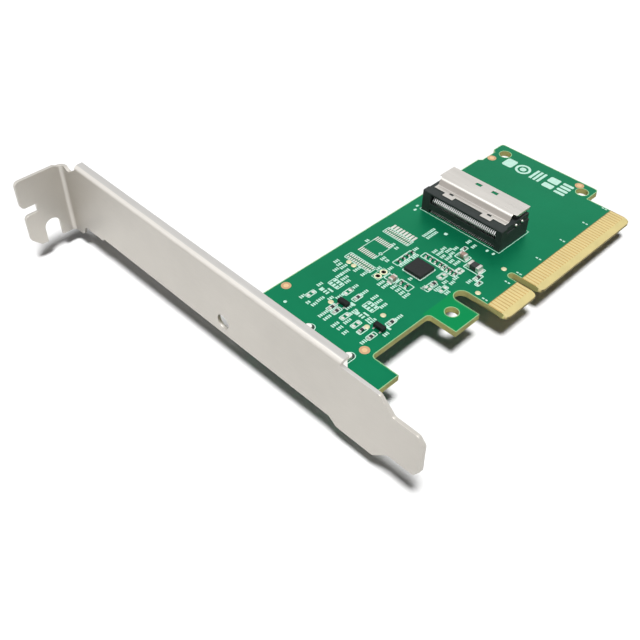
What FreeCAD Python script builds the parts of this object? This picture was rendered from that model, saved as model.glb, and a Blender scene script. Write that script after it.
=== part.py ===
import FreeCAD, Part
import os

import Sketcher
from FreeCAD import Vector

# Adapter card with a card edge, a cable receptacle and a full-height bracket, lying with its
# component side up. X runs along the card from the key notch, away from the bracket. Y runs up
# the card from the leading edge of the tongues. Z is height above the board's component side.

DIMENSIONS = [
    ("board_thickness", 1.57, "laminate with copper and solder mask"),
    ("board_left", -57.5, "board edge beside the bracket"),
    ("board_far", 44.5, "board edge at the far end"),
    ("board_top", 44.1, "upper edge of the board"),
    ("board_corner", 1.0, "corner radius of the board"),
    ("breakaway_start", 33.2, "start of the shallow breakaway recess in the upper edge"),
    ("breakaway_end", 40.4, "end of the breakaway recess"),
    ("breakaway_depth", 0.9, "depth of the breakaway recess"),
    ("breakaway_slope", 0.9, "run of each sloped end of the recess"),
    ("foot_right", -42.9, "right edge of the lower foot beside the bracket"),
    ("foot_bottom", 5.2, "lower edge of that foot"),
    ("waist_bottom", 12.9, "lower edge of the board between foot and hole tab"),
    ("hole_tab_left", -24.3, "left edge of the hole tab"),
    ("hole_tab_bottom", 5.0, "lower edge of the hole tab"),
    ("hole_tab_hole_x", -19.9, "centre of the hole in the tab"),
    ("hole_tab_hole_y", 9.8, "centre of the hole in the tab"),
    ("hole_tab_hole_radius", 1.6, "hole in the tab"),
    ("relief_centre", -14.1, "centre line of the relief slot beside the card edge"),
    ("relief_radius", 1.95, "half width of the relief slot"),
    ("relief_top", 13.4, "closed end of the relief slot"),
    ("key_radius", 0.95, "half width of the key notch"),
    ("key_top", 8.8, "closed end of the key notch"),
    ("tongue_right", 39.15, "right edge of the card edge tongue"),
    ("tongue_corner", 1.0, "corner cut of the tongues"),
    ("shelf_bottom", 12.7, "lower edge of the board beyond the tongue"),
    ("bevel_height", 1.75, "lead-in bevel along the card edge"),
    ("bevel_depth", 0.45, "depth of the bevel into each face"),
    ("far_hole_x", 40.8, "far-end holes"),
    ("far_hole_low", 15.4, "lower far-end hole"),
    ("far_hole_spacing", 25.0, "distance between the far-end holes"),
    ("far_hole_radius", 1.6, "far-end hole"),
    ("header_x", -22.8, "first hole of the two-hole header"),
    ("header_y", 29.8, "line of the two-hole header"),
    ("header_pitch", 2.0, "pitch of the two-hole header"),
    ("header_hole_radius", 0.45, "drilled header hole"),
    ("foil", 0.035, "thickness of bare copper lands"),
    ("pin_pitch", 1.0, "pitch of the edge contacts"),
    ("pin_width", 0.7, "width of an edge contact"),
    ("pin_top", 5.6, "upper end of the edge contacts"),
    ("short_row_first", -11.5, "first contact of the short tongue"),
    ("short_row_count", 11, "contacts on the short tongue"),
    ("long_row_first", 1.5, "first contact of the long tongue"),
    ("long_row_count", 38, "contacts on the long tongue"),
    ("sheet_thickness", 0.86, "bracket sheet"),
    ("bracket_face", -58.83, "outer face of the bracket"),
    ("bracket_high", 14.3, "flange side of the bracket"),
    ("bracket_low", -3.87, "plain edge of the bracket"),
    ("face_high", 13.05, "face edge where there is no flange"),
    ("flange_depth", 2.5, "depth of the flange from the outer face"),
    ("flange_start", 7.0, "lower end of the flange"),
    ("flange_end", 98.4, "upper end of the flange"),
    ("flange_bend", 1.2, "outer bend radius of the flange"),
    ("ear_under", 104.77, "underside of the ear"),
    ("ear_bend", 1.1, "inner bend radius between face and ear"),
    ("ear_depth", 13.05, "depth of the ear from the outer face"),
    ("ear_high", 12.2, "upper edge of the ear"),
    ("ear_low", -8.0, "lower edge of the ear"),
    ("ear_corner", 1.3, "corner radius of the ear"),
    ("ear_step", 0.45, "set-back of the ear edge below its notch"),
    ("ear_notch_high", 4.3, "upper side of the notch in the ear"),
    ("ear_notch_low", 1.85, "lower side of the notch in the ear"),
    ("ear_notch_depth", 4.2, "depth of the notch in the ear"),
    ("ear_nose", 2.6, "slope at the lower corner of the ear"),
    ("screw_slot_offset", 5.95, "screw slot centre from the outer face"),
    ("screw_slot_radius", 2.21, "half width of the screw slot"),
    ("screw_slot_centre", -4.05, "centre of the round end of the screw slot"),
    ("relief_notch_low", 11.0, "bottom of the notch between ear and flange"),
    ("relief_notch_start", 101.6, "notch between ear and flange"),
    ("relief_notch_end", 102.4, "notch between ear and flange"),
    ("relief_edge_end", 103.6, "where the slope beside the notch ends"),
    ("bend_high", 11.7, "upper edge of the sheet across the ear's bend"),
    ("ear_slope", 0.9, "length of the slope from there to the ear's upper edge"),
    ("tooth_end", 101.0, "lower end of the wide root of the ear"),
    ("tooth_slope", 1.8, "slope below the root of the ear"),
    ("neck_low", -4.7, "face edge just below the ear"),
    ("neck_end", 91.4, "lower end of that neck"),
    ("neck_slope", 1.0, "slope of the neck"),
    ("shoulder_low", -5.5, "edge of the wide shoulder above the blade"),
    ("shoulder_high_end", 7.7, "upper end of the shoulder"),
    ("shoulder_low_end", -2.4, "lower end of the shoulder"),
    ("shoulder_slope", 2.2, "slope at the upper end of the shoulder"),
    ("blade_tip", -14.43, "tip of the blade"),
    ("blade_low", -2.0, "plain edge of the blade"),
    ("blade_high", 9.6, "other edge of the blade"),
    ("blade_low_start", -6.3, "where the plain edge of the blade starts"),
    ("blade_high_start", -6.8, "where the other edge of the blade starts"),
    ("taper_start", -3.2, "where the face starts to taper to the blade"),
    ("blade_corner", 1.6, "corner cut at the tip of the blade"),
    ("edge_round", 1.0, "corner radius along the bracket outline"),
    ("window_y", 43.2, "light window in the bracket face"),
    ("window_z", -0.2, "light window in the bracket face"),
    ("window_radius", 1.9, "light window in the bracket face"),
    ("lug_first", 16.1, "centre line of the lower mounting lug"),
    ("lug_spacing", 12.3, "distance between the mounting lugs"),
    ("lug_width", 7.0, "width of a lug at the bracket"),
    ("lug_root", 7.4, "length of the wide part of a lug"),
    ("lug_nose_width", 1.7, "width of the nose of a lug"),
    ("lug_tip", -45.95, "tip of the nose"),
    ("lug_height", 6.5, "height of a lug on the bracket face"),
    ("lug_bend", 0.3, "inner bend radius of a lug"),
    ("lug_hole", -53.9, "screw line of the lugs"),
    ("screw_radius", 1.45, "screw shank"),
    ("screw_clearance", 1.7, "screw hole in the board"),
    ("screw_tapped", 1.5, "screw hole in a lug"),
    ("screw_head_radius", 2.7, "screw head"),
    ("screw_head_height", 1.7, "screw head"),
    ("screw_head_bevel", 0.6, "bevel of the screw head"),
    ("socket_rear", 4.75, "rear face of the receptacle housing"),
    ("socket_front", 15.9, "mouth of the receptacle housing"),
    ("socket_low", 15.4, "near end of the housing"),
    ("socket_high", 40.1, "far end of the housing"),
    ("socket_middle", 27.65, "middle of the shell along Y"),
    ("comb_middle", 27.4, "middle of the contact rows along Y"),
    ("socket_height", 5.95, "height of the housing"),
    ("recess_length", 20.6, "rear recess of the housing along Y"),
    ("recess_height", 5.45, "rear recess of the housing"),
    ("recess_front", 8.2, "front end of the rear recess"),
    ("mouth_back", 9.2, "back of the mouth"),
    ("mouth_length", 22.4, "mouth along Y"),
    ("mouth_low", 1.1, "floor of the mouth"),
    ("mouth_high", 4.85, "roof of the mouth"),
    ("comb_bar_rear", 4.8, "spacer bar across the rear recess"),
    ("comb_bar_low", 1.1, "underside of the spacer bar"),
    ("comb_bar_low_front", 5.48, "front of the spacer bar at its underside"),
    ("comb_bar_high", 2.9, "top of the spacer bar"),
    ("comb_bar_high_front", 4.93, "front of the spacer bar at its top"),
    ("housing_chamfer", 0.15, "edge chamfer of the housing"),
    ("ledge_height", 4.4, "ledge along each end of the housing"),
    ("ledge_depth", 0.28, "depth of that ledge"),
    ("ledge_rear", 6.9, "rear end of that ledge"),
    ("contact_pitch", 0.55, "pitch of the receptacle contacts"),
    ("contact_count", 37, "contacts in one row"),
    ("contact_width", 0.3, "width of a contact"),
    ("contact_strip", 0.2, "thickness of the contact strip"),
    ("contact_tip", 14.4, "front end of the contacts"),
    ("contact_gap", 0.03, "play round a contact in its slot"),
    ("upper_beam", 4.15, "underside of the upper contact beams"),
    ("upper_tail", 5.85, "rear face of the upper contacts at their feet"),
    ("shoulder_start", 6.15, "where the upper contacts start to slope down"),
    ("shoulder_rear", 5.55, "rear bend of the upper contacts"),
    ("shoulder_height", 3.3, "height of that bend"),
    ("lower_beam", 1.6, "underside of the lower contact beams"),
    ("lower_tail", 7.45, "rear face of the lower contact tails"),
    ("contact_foot", 0.5, "length of a soldered contact foot"),
    ("shell_sheet", 0.25, "shell sheet"),
    ("shell_strip_rear", 7.4, "rear edge of the low strip of the shell"),
    ("shell_step", 8.85, "foot of the sloped step of the shell"),
    ("shell_step_run", 0.95, "run of that step along X"),
    ("shell_step_shift", 0.145, "shift of the step's corners through the sheet"),
    ("shell_top", 7.85, "top of the raised plate"),
    ("shell_front", 16.0, "front edge of the raised plate"),
    ("shell_strip_length", 22.1, "low strip along Y"),
    ("shell_plate_length", 23.9, "raised plate along Y"),
    ("shell_plate_rear", 10.5, "rear edge of the wide part of the plate"),
    ("shell_bend", 0.8, "outer bend radius of the step"),
    ("shell_hook_rear", 6.1, "rear edge of the hooks"),
    ("shell_hook_width", 3.2, "width of a hook"),
    ("shell_hook_offset", 5.9, "hook from the middle of the receptacle"),
    ("shell_eye_rear", 7.5, "eye in a hook"),
    ("shell_eye_front", 8.25, "eye in a hook"),
    ("shell_eye_width", 1.2, "eye in a hook"),
    ("latch_rear", 13.7, "latch window in the plate"),
    ("latch_front", 14.75, "latch window in the plate"),
    ("latch_width", 1.75, "latch window in the plate"),
    ("latch_offset", 2.5, "latch window from the middle of the receptacle"),
    ("lip_rear", 11.3, "turned-down lip at each end of the plate"),
    ("lip_front", 15.7, "turned-down lip at each end of the plate"),
    ("lip_low", 7.1, "lower edge of that lip"),
    ("ic_x", -14.15, "middle of the leadless chip"),
    ("ic_y", 24.55, "middle of the leadless chip"),
    ("ic_side", 5.2, "side of the chip"),
    ("ic_height", 0.85, "height of the chip above its lands"),
    ("ic_pad_count", 7, "lands on one side of the chip"),
    ("ic_pad_pitch", 0.65, "pitch of the lands"),
    ("ic_pad_width", 0.35, "width of a land"),
    ("ic_pad_length", 0.7, "length of a land"),
    ("ic_pad_reach", 0.3, "how far a land shows beyond the chip"),
    ("bulk_length", 2.0, "bulk capacitor"),
    ("bulk_width", 1.3, "bulk capacitor"),
    ("bulk_height", 1.2, "bulk capacitor"),
    ("inductor_length", 3.3, "power part"),
    ("inductor_width", 1.9, "power part"),
    ("inductor_height", 1.3, "power part"),
    ("resistor_length", 1.6, "chip resistor"),
    ("resistor_width", 0.8, "chip resistor"),
    ("resistor_height", 0.45, "chip resistor"),
    ("small_length", 1.0, "small chip capacitor"),
    ("small_width", 0.5, "small chip capacitor"),
    ("small_height", 0.5, "small chip capacitor"),
    ("cap_share", 0.24, "share of a chip part's length under each end cap"),
    ("cap_proud", 0.03, "how far an end cap stands out from the body"),
    ("transistor_length", 2.9, "transistor body along Y"),
    ("transistor_width", 1.3, "transistor body along X"),
    ("transistor_height", 0.95, "transistor body"),
    ("transistor_stand", 0.1, "gap under the transistor body"),
    ("transistor_lead", 0.4, "width of a transistor lead"),
    ("transistor_lead_sheet", 0.12, "transistor lead sheet"),
    ("transistor_reach", 0.55, "reach of a transistor lead"),
]

# Places on the board, middle of each part, and whether it lies along X or along Y.
BULK_CAPACITORS = [(-21.5, 26.3, "X"), (-2.9, 20.3, "Y")]
INDUCTORS = [(-4.3, 15.7, "Y")]
CHANNEL_STEP = -11.1
TRANSISTOR_PLACE = (-35.5, 28.6)
RESISTORS = [
    (-31.7, 27.8, "X"), (-38.2, 29.6, "X"), (-38.4, 28.0, "X"),
    (-32.2, 16.9, "X"), (-38.8, 19.8, "X"), (-38.9, 16.9, "X"),
    (-15.6, 18.8, "X"), (-6.4, 13.0, "X"),
]


class Size:
    """A length together with the sheet expression that gives it."""

    def __init__(self, value, text):
        self.value = value
        self.text = text

    def __add__(self, other):
        other = as_size(other)
        return Size(self.value + other.value, f"({self.text} + {other.text})")

    def __sub__(self, other):
        other = as_size(other)
        return Size(self.value - other.value, f"({self.text} - {other.text})")

    def __mul__(self, factor):
        return Size(self.value * factor, f"({self.text} * {factor})")

    def __neg__(self):
        return Size(-self.value, f"(0 - {self.text})")


def as_size(length):
    if isinstance(length, Size):
        return length
    return Size(float(length), f"({float(length)})")


class Sizes:
    """Gives each aliased cell of the sheet by name."""

    def __getattr__(self, alias):
        return Size(float(sheet.get(alias)), f"Dimensions.{alias}")


doc = FreeCAD.newDocument("AdapterCard")
sheet = doc.addObject("Spreadsheet::Sheet", "Dimensions")
for row, (alias, value, meaning) in enumerate(DIMENSIONS, start=1):
    sheet.set(f"A{row}", meaning)
    sheet.set(f"B{row}", str(value))
    sheet.setAlias(f"B{row}", alias)
doc.recompute()
d = Sizes()
sub_parts = []


# Drawing aids

def bind(thing, name, length):
    thing.setExpression(name, as_size(length).text)


def new_body(label):
    body = doc.addObject("PartDesign::Body", label)
    body.Label = label
    sub_parts.append(body)
    return body


def origin_feature(body, role):
    for feature in body.Origin.OriginFeatures:
        if feature.Role == role:
            return feature
    raise ValueError(f"no origin feature {role}")


def new_sketch(body, role, name, offset):
    """Sketch on an origin plane, moved along that plane's normal (XZ faces -Y)."""
    sketch = body.newObject("Sketcher::SketchObject", name)
    sketch.AttachmentSupport = [(origin_feature(body, role), "")]
    sketch.MapMode = "FlatFace"
    bind(sketch, "AttachmentOffset.Base.z", offset)
    return sketch


def fix_point(sketch, line, point, x, y):
    for kind, place in (("DistanceX", as_size(x)), ("DistanceY", as_size(y))):
        number = sketch.addConstraint(Sketcher.Constraint(kind, -1, 1, line, point, place.value))
        sketch.setExpression(f"Constraints[{number}]", place.text)


def draw_polygon(sketch, points):
    first = sketch.GeometryCount
    corners = [Vector(as_size(x).value, as_size(y).value, 0) for x, y in points]
    count = len(corners)
    lines = [Part.LineSegment(corners[n], corners[(n + 1) % count]) for n in range(count)]
    sketch.addGeometry(lines, False)
    joins = [
        Sketcher.Constraint("Coincident", first + n, 2, first + (n + 1) % count, 1)
        for n in range(count)
    ]
    sketch.addConstraint(joins)
    for n, (x, y) in enumerate(points):
        fix_point(sketch, first + n, 1, x, y)


def draw_box(sketch, x_low, x_high, y_low, y_high):
    draw_polygon(sketch, [(x_low, y_low), (x_high, y_low), (x_high, y_high), (x_low, y_high)])


def draw_circle(sketch, x, y, radius):
    circle = Part.Circle(Vector(as_size(x).value, as_size(y).value, 0), Vector(0, 0, 1), radius.value)
    number = sketch.addGeometry(circle, False)
    fix_point(sketch, number, 3, x, y)
    size = sketch.addConstraint(Sketcher.Constraint("Radius", number, radius.value))
    sketch.setExpression(f"Constraints[{size}]", radius.text)


def draw_open_slot(sketch, middle, radius, open_end, round_centre):
    """Straight slot, open below and closed above by a half circle."""
    left = (middle - radius).value
    right = (middle + radius).value
    low = as_size(open_end).value
    high = round_centre.value
    half_turn = 3.141592653589793
    arc_circle = Part.Circle(Vector(middle.value, high, 0), Vector(0, 0, 1), radius.value)
    sketch.addGeometry([
        Part.LineSegment(Vector(left, low, 0), Vector(left, high, 0)),
        Part.ArcOfCircle(arc_circle, 0, half_turn),
        Part.LineSegment(Vector(right, high, 0), Vector(right, low, 0)),
        Part.LineSegment(Vector(right, low, 0), Vector(left, low, 0)),
    ], False)
    sketch.addConstraint([
        Sketcher.Constraint("Coincident", 0, 2, 1, 2),
        Sketcher.Constraint("Coincident", 1, 1, 2, 1),
        Sketcher.Constraint("Coincident", 2, 2, 3, 1),
        Sketcher.Constraint("Coincident", 3, 2, 0, 1),
        Sketcher.Constraint("Vertical", 0),
        Sketcher.Constraint("Vertical", 2),
        Sketcher.Constraint("Horizontal", 1, 1, 1, 3),
        Sketcher.Constraint("Horizontal", 1, 2, 1, 3),
    ])
    fix_point(sketch, 1, 3, middle, round_centre)
    fix_point(sketch, 2, 2, middle + radius, open_end)
    level = sketch.addConstraint(Sketcher.Constraint("DistanceY", -1, 1, 3, 2, low))
    sketch.setExpression(f"Constraints[{level}]", as_size(open_end).text)


def add_pad(body, sketch, length, name, reverse=False):
    pad = body.newObject("PartDesign::Pad", name)
    pad.Profile = sketch
    bind(pad, "Length", length)
    pad.Reversed = reverse
    doc.recompute()
    return pad


def add_middle_pad(body, sketch, length, name):
    pad = add_pad(body, sketch, length, name)
    pad.SideType = "Symmetric"
    doc.recompute()
    return pad


def add_through_cut(body, sketch, name):
    """Cut right through the body to both sides of the sketch."""
    pocket = body.newObject("PartDesign::Pocket", name)
    pocket.Profile = sketch
    pocket.Type = "ThroughAll"
    pocket.SideType = "Symmetric"
    doc.recompute()
    return pocket


def add_cut(body, sketch, depth, name, reverse):
    pocket = body.newObject("PartDesign::Pocket", name)
    pocket.Profile = sketch
    bind(pocket, "Length", depth)
    pocket.Reversed = reverse
    doc.recompute()
    return pocket


def add_row(body, feature, axis_role, length, count, name):
    """Repeats a feature along an axis: count copies over the given length."""
    row = body.newObject("PartDesign::LinearPattern", name)
    row.Originals = [feature]
    row.Direction = (origin_feature(body, axis_role), [""])
    bind(row, "Length", length)
    bind(row, "Occurrences", count)
    body.Tip = row
    doc.recompute()
    return row


def edges_at(feature, direction, places):
    """Names of the straight edges along a direction that pass through the given places."""
    names = []
    for number, edge in enumerate(feature.Shape.Edges, start=1):
        if edge.Curve.TypeId != "Part::GeomLine":
            continue
        if edge.Curve.Direction.cross(direction).Length > 0.001:
            continue
        for place in places:
            away = edge.CenterOfMass - place
            if (away - direction * away.dot(direction)).Length < 0.02:
                names.append(f"Edge{number}")
    if len(names) < len(places):
        raise ValueError(f"{feature.Name}: {len(names)} of {len(places)} edges found")
    return names


def round_edges(body, direction, places, radius, name):
    base = body.Tip
    fillet = body.newObject("PartDesign::Fillet", name)
    fillet.Base = (base, edges_at(base, direction, places))
    bind(fillet, "Radius", radius)
    doc.recompute()
    return fillet


def bevel_edges(body, direction, places, size, name):
    base = body.Tip
    chamfer = body.newObject("PartDesign::Chamfer", name)
    chamfer.Base = (base, edges_at(base, direction, places))
    bind(chamfer, "Size", size)
    doc.recompute()
    return chamfer


ALONG_X = Vector(1, 0, 0)
ALONG_Y = Vector(0, 1, 0)
ALONG_Z = Vector(0, 0, 1)


def xy(x, y):
    return Vector(as_size(x).value, as_size(y).value, 0)


def yz(y, z):
    return Vector(0, as_size(y).value, as_size(z).value)


def xz(x, z):
    return Vector(as_size(x).value, 0, as_size(z).value)


# Circuit board

def make_circuit_board():
    body = new_body("circuit_board")
    outline = new_sketch(body, "XY_Plane", "board_outline", 0)
    tongue_left = d.relief_centre + d.relief_radius
    tab_right = d.relief_centre - d.relief_radius
    recess_floor = d.board_top - d.breakaway_depth
    corner = d.tongue_corner
    cut = corner * 0.29
    draw_polygon(outline, [
        (d.board_left, d.foot_bottom),
        (d.foot_right, d.foot_bottom),
        (d.foot_right, d.waist_bottom),
        (d.hole_tab_left, d.waist_bottom),
        (d.hole_tab_left, d.hole_tab_bottom),
        (tab_right, d.hole_tab_bottom),
        (tab_right, d.waist_bottom - d.relief_radius),
        (tongue_left, d.waist_bottom - d.relief_radius),
        (tongue_left, corner),
        (tongue_left + cut, cut),
        (tongue_left + corner, 0),
        (d.tongue_right - corner, 0),
        (d.tongue_right - cut, cut),
        (d.tongue_right, corner),
        (d.tongue_right, d.shelf_bottom),
        (d.board_far, d.shelf_bottom),
        (d.board_far, d.board_top),
        (d.breakaway_end, d.board_top),
        (d.breakaway_end - d.breakaway_slope, recess_floor),
        (d.breakaway_start + d.breakaway_slope, recess_floor),
        (d.breakaway_start, d.board_top),
        (d.board_left, d.board_top),
    ])
    add_pad(body, outline, d.board_thickness, "board_sheet", reverse=True)

    slot = new_sketch(body, "XY_Plane", "relief_slot", 0)
    draw_open_slot(slot, d.relief_centre, d.relief_radius, 2.0, d.relief_top - d.relief_radius)
    add_through_cut(body, slot, "relief_cut")
    key = new_sketch(body, "XY_Plane", "key_notch", 0)
    draw_open_slot(key, d.key_radius * 0, d.key_radius, -1.0, d.key_top - d.key_radius)
    add_through_cut(body, key, "key_cut")
    mouth = new_sketch(body, "XY_Plane", "key_mouth", 0)
    draw_polygon(mouth, [
        (-d.key_radius, corner), (-d.key_radius - cut, cut), (-d.key_radius - corner, 0),
        (-d.key_radius - corner, -1.0), (d.key_radius + corner, -1.0), (d.key_radius + corner, 0),
        (d.key_radius + cut, cut), (d.key_radius, corner),
    ])
    add_through_cut(body, mouth, "key_mouth_cut")

    for side, depth in ((0, -d.bevel_depth), (1, d.bevel_depth)):
        face = -d.board_thickness * side
        bevel = new_sketch(body, "YZ_Plane", f"bevel_{side}", 0)
        outside = face - depth
        draw_polygon(bevel, [
            (0, face + depth), (d.bevel_height, face), (d.bevel_height, outside),
            (-1.0, outside), (-1.0, face + depth),
        ])
        add_through_cut(body, bevel, f"bevel_cut_{side}")

    holes = new_sketch(body, "XY_Plane", "drilling", 0)
    draw_circle(holes, d.hole_tab_hole_x, d.hole_tab_hole_y, d.hole_tab_hole_radius)
    for step in range(2):
        draw_circle(holes, d.far_hole_x, d.far_hole_low + d.far_hole_spacing * step, d.far_hole_radius)
        draw_circle(holes, d.header_x + d.header_pitch * step, d.header_y, d.header_hole_radius)
        draw_circle(holes, d.lug_hole, d.lug_first + d.lug_spacing * step, d.screw_clearance)
    add_through_cut(body, holes, "drilled_holes")

    corners = [
        xy(d.board_left, d.board_top), xy(d.board_far, d.board_top), xy(d.board_far, d.shelf_bottom),
        xy(d.foot_right, d.waist_bottom), xy(d.hole_tab_left, d.waist_bottom),
    ]
    round_edges(body, ALONG_Z, corners, d.board_corner, "board_corners")


def make_edge_contacts(label, base, reverse):
    """Two rows of gold pads on one face of the card edge."""
    body = new_body(label)
    half = d.pin_width * 0.5
    rows = (
        ("short", d.short_row_first, d.short_row_count),
        ("long", d.long_row_first, d.long_row_count),
    )
    for name, first, count in rows:
        sketch = new_sketch(body, "XY_Plane", f"{label}_{name}_pad", base)
        draw_box(sketch, first - half, first + half, d.bevel_height, d.pin_top)
        pad = add_pad(body, sketch, d.foil, f"{label}_{name}_foil", reverse)
        reach = Size(d.pin_pitch.value * (count.value - 1), f"({d.pin_pitch.text} * ({count.text} - 1))")
        add_row(body, pad, "X_Axis", reach, count, f"{label}_{name}_row")


# Bracket with its lugs and screws

def make_bracket():
    body = new_body("bracket")
    sheet_metal = d.sheet_thickness
    outside = d.bracket_face
    inside = outside + sheet_metal
    ear_top = d.ear_under + sheet_metal

    face = new_sketch(body, "YZ_Plane", "face_outline", outside)
    corner = d.blade_corner
    draw_polygon(face, [
        (ear_top, d.ear_low),
        (d.tooth_end, d.ear_low),
        (d.tooth_end - d.tooth_slope, d.neck_low),
        (d.neck_end, d.neck_low),
        (d.neck_end - d.neck_slope, d.bracket_low),
        (d.shoulder_high_end + d.shoulder_slope, d.bracket_low),
        (d.shoulder_high_end, d.shoulder_low),
        (d.shoulder_low_end, d.shoulder_low),
        (d.blade_low_start, d.blade_low),
        (d.blade_tip + corner, d.blade_low),
        (d.blade_tip, d.blade_low + corner * 1.6),
        (d.blade_tip, d.blade_high - corner),
        (d.blade_tip + corner, d.blade_high),
        (d.blade_high_start, d.blade_high),
        (d.taper_start, d.face_high),
        (d.flange_start, d.face_high),
        (d.flange_start, d.bracket_high),
        (d.flange_end, d.bracket_high),
        (d.flange_end, d.face_high),
        (d.relief_notch_start, d.relief_notch_low),
        (d.relief_notch_end, d.relief_notch_low),
        (d.relief_edge_end, d.bend_high),
        (ear_top, d.bend_high),
    ])
    add_pad(body, face, sheet_metal, "face_sheet")

    ear_edge = outside - d.ear_depth
    notch_end = ear_edge + d.ear_notch_depth
    lower_edge = ear_edge + d.ear_step
    bend_end = outside - d.ear_bend - 0.1
    ear = new_sketch(body, "XZ_Plane", "ear_outline", -d.ear_under)
    draw_polygon(ear, [
        (inside, d.ear_low),
        (lower_edge + d.ear_nose, d.ear_low),
        (lower_edge, d.ear_low + d.ear_nose),
        (lower_edge, d.ear_notch_low),
        (notch_end, d.ear_notch_low),
        (notch_end, d.ear_notch_high),
        (ear_edge, d.ear_notch_high),
        (ear_edge, d.ear_high),
        (bend_end - d.ear_slope, d.ear_high),
        (bend_end, d.bend_high),
        (inside, d.bend_high),
    ])
    add_pad(body, ear, sheet_metal, "ear_sheet", reverse=True)
    slot = new_sketch(body, "XZ_Plane", "screw_slot", -d.ear_under)
    slot_middle = outside - d.screw_slot_offset
    draw_open_slot(slot, slot_middle, d.screw_slot_radius, d.ear_low - 1.0, d.screw_slot_centre)
    add_through_cut(body, slot, "screw_slot_cut")

    flange = new_sketch(body, "XY_Plane", "flange_outline", d.bracket_high - sheet_metal)
    draw_box(flange, outside, outside + d.flange_depth, d.flange_start, d.flange_end)
    add_pad(body, flange, sheet_metal, "flange_sheet")
    window = new_sketch(body, "YZ_Plane", "light_window", outside)
    draw_circle(window, d.window_y, d.window_z, d.window_radius)
    add_through_cut(body, window, "light_window_cut")

    round_edges(body, ALONG_Y, [xz(outside, d.bracket_high)], d.flange_bend, "flange_outer_bend")
    flange_root = xz(inside, d.bracket_high - sheet_metal)
    round_edges(body, ALONG_Y, [flange_root], d.flange_bend - sheet_metal, "flange_inner_bend")
    round_edges(body, ALONG_Z, [xy(outside, d.ear_under)], d.ear_bend, "ear_inner_bend")
    round_edges(body, ALONG_Z, [xy(inside, ear_top)], d.ear_bend + sheet_metal, "ear_outer_bend")

    outline_corners = [
        yz(d.tooth_end, d.ear_low), yz(d.tooth_end - d.tooth_slope, d.neck_low),
        yz(d.shoulder_high_end + d.shoulder_slope, d.bracket_low),
        yz(d.shoulder_high_end, d.shoulder_low), yz(d.shoulder_low_end, d.shoulder_low),
        yz(d.blade_low_start, d.blade_low), yz(d.blade_tip + corner, d.blade_low),
        yz(d.blade_tip, d.blade_low + corner * 1.6), yz(d.blade_tip, d.blade_high - corner),
        yz(d.blade_tip + corner, d.blade_high), yz(d.blade_high_start, d.blade_high),
        yz(d.taper_start, d.face_high),
    ]
    round_edges(body, ALONG_X, outline_corners, d.edge_round, "outline_rounding")
    ear_corners = [
        xz(ear_edge, d.ear_high), xz(ear_edge, d.ear_notch_high), xz(lower_edge, d.ear_low + d.ear_nose),
        xz(lower_edge + d.ear_nose, d.ear_low), xz(lower_edge, d.ear_notch_low),
    ]
    round_edges(body, ALONG_Y, ear_corners, d.ear_corner, "ear_rounding")


def make_mounting_lugs():
    body = new_body("mounting_lugs")
    back = d.bracket_face + d.sheet_thickness
    root_end = back + d.lug_root
    half = d.lug_width * 0.5
    nose = d.lug_nose_width * 0.5
    middle = d.lug_first
    foot = new_sketch(body, "XY_Plane", "lug_foot_outline", 0)
    nose_end = d.lug_tip - nose
    draw_polygon(foot, [
        (back, middle - half), (root_end, middle - half), (root_end + half - nose, middle - nose),
        (nose_end, middle - nose), (nose_end, middle + nose),
        (root_end + half - nose, middle + nose), (root_end, middle + half), (back, middle + half),
    ])
    add_pad(body, foot, d.sheet_thickness, "lug_foot")
    tip = new_sketch(body, "XY_Plane", "lug_tip_circle", 0)
    draw_circle(tip, nose_end, middle, nose)
    add_pad(body, tip, d.sheet_thickness, "lug_tip")
    wall = new_sketch(body, "YZ_Plane", "lug_wall_outline", back)
    draw_box(wall, middle - half, middle + half, 0, d.lug_height)
    add_pad(body, wall, d.sheet_thickness, "lug_wall")
    hole = new_sketch(body, "XY_Plane", "lug_screw_hole", 0)
    draw_circle(hole, d.lug_hole, middle, d.screw_tapped)
    add_through_cut(body, hole, "lug_hole_cut")
    inner = xz(back + d.sheet_thickness, d.sheet_thickness)
    round_edges(body, ALONG_Y, [inner], d.lug_bend, "lug_inner_bend")
    outer_bend = d.lug_bend + d.sheet_thickness
    round_edges(body, ALONG_Y, [xz(back, 0)], outer_bend, "lug_outer_bend")
    pair = body.newObject("PartDesign::LinearPattern", "lug_pair")
    pair.TransformMode = "Whole shape"
    pair.Direction = (origin_feature(body, "Y_Axis"), [""])
    bind(pair, "Length", d.lug_spacing)
    pair.Occurrences = 2
    body.Tip = pair
    doc.recompute()


def make_bracket_screws():
    body = new_body("bracket_screws")
    seat = -d.board_thickness
    head = new_sketch(body, "XY_Plane", "screw_head_circle", seat)
    draw_circle(head, d.lug_hole, d.lug_first, d.screw_head_radius)
    add_pad(body, head, d.screw_head_height, "screw_head", reverse=True)
    base = body.Tip
    rim = [
        f"Edge{number}" for number, edge in enumerate(base.Shape.Edges, start=1)
        if edge.Curve.TypeId == "Part::GeomCircle" and edge.CenterOfMass.z < seat.value - 0.1
    ]
    bevel = body.newObject("PartDesign::Chamfer", "screw_head_bevel_cut")
    bevel.Base = (base, rim)
    bind(bevel, "Size", d.screw_head_bevel)
    doc.recompute()
    shank = new_sketch(body, "XY_Plane", "screw_shank_circle", seat)
    draw_circle(shank, d.lug_hole, d.lug_first, d.screw_radius)
    add_pad(body, shank, d.board_thickness + d.sheet_thickness, "screw_shank")
    pair = body.newObject("PartDesign::LinearPattern", "screw_pair")
    pair.TransformMode = "Whole shape"
    pair.Direction = (origin_feature(body, "Y_Axis"), [""])
    bind(pair, "Length", d.lug_spacing)
    pair.Occurrences = 2
    body.Tip = pair
    doc.recompute()


# Cable receptacle

def contact_row_length():
    count = d.contact_count
    return Size(d.contact_pitch.value * (count.value - 1), f"({d.contact_pitch.text} * ({count.text} - 1))")


def contact_row_start():
    return d.comb_middle - contact_row_length() * 0.5


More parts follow.
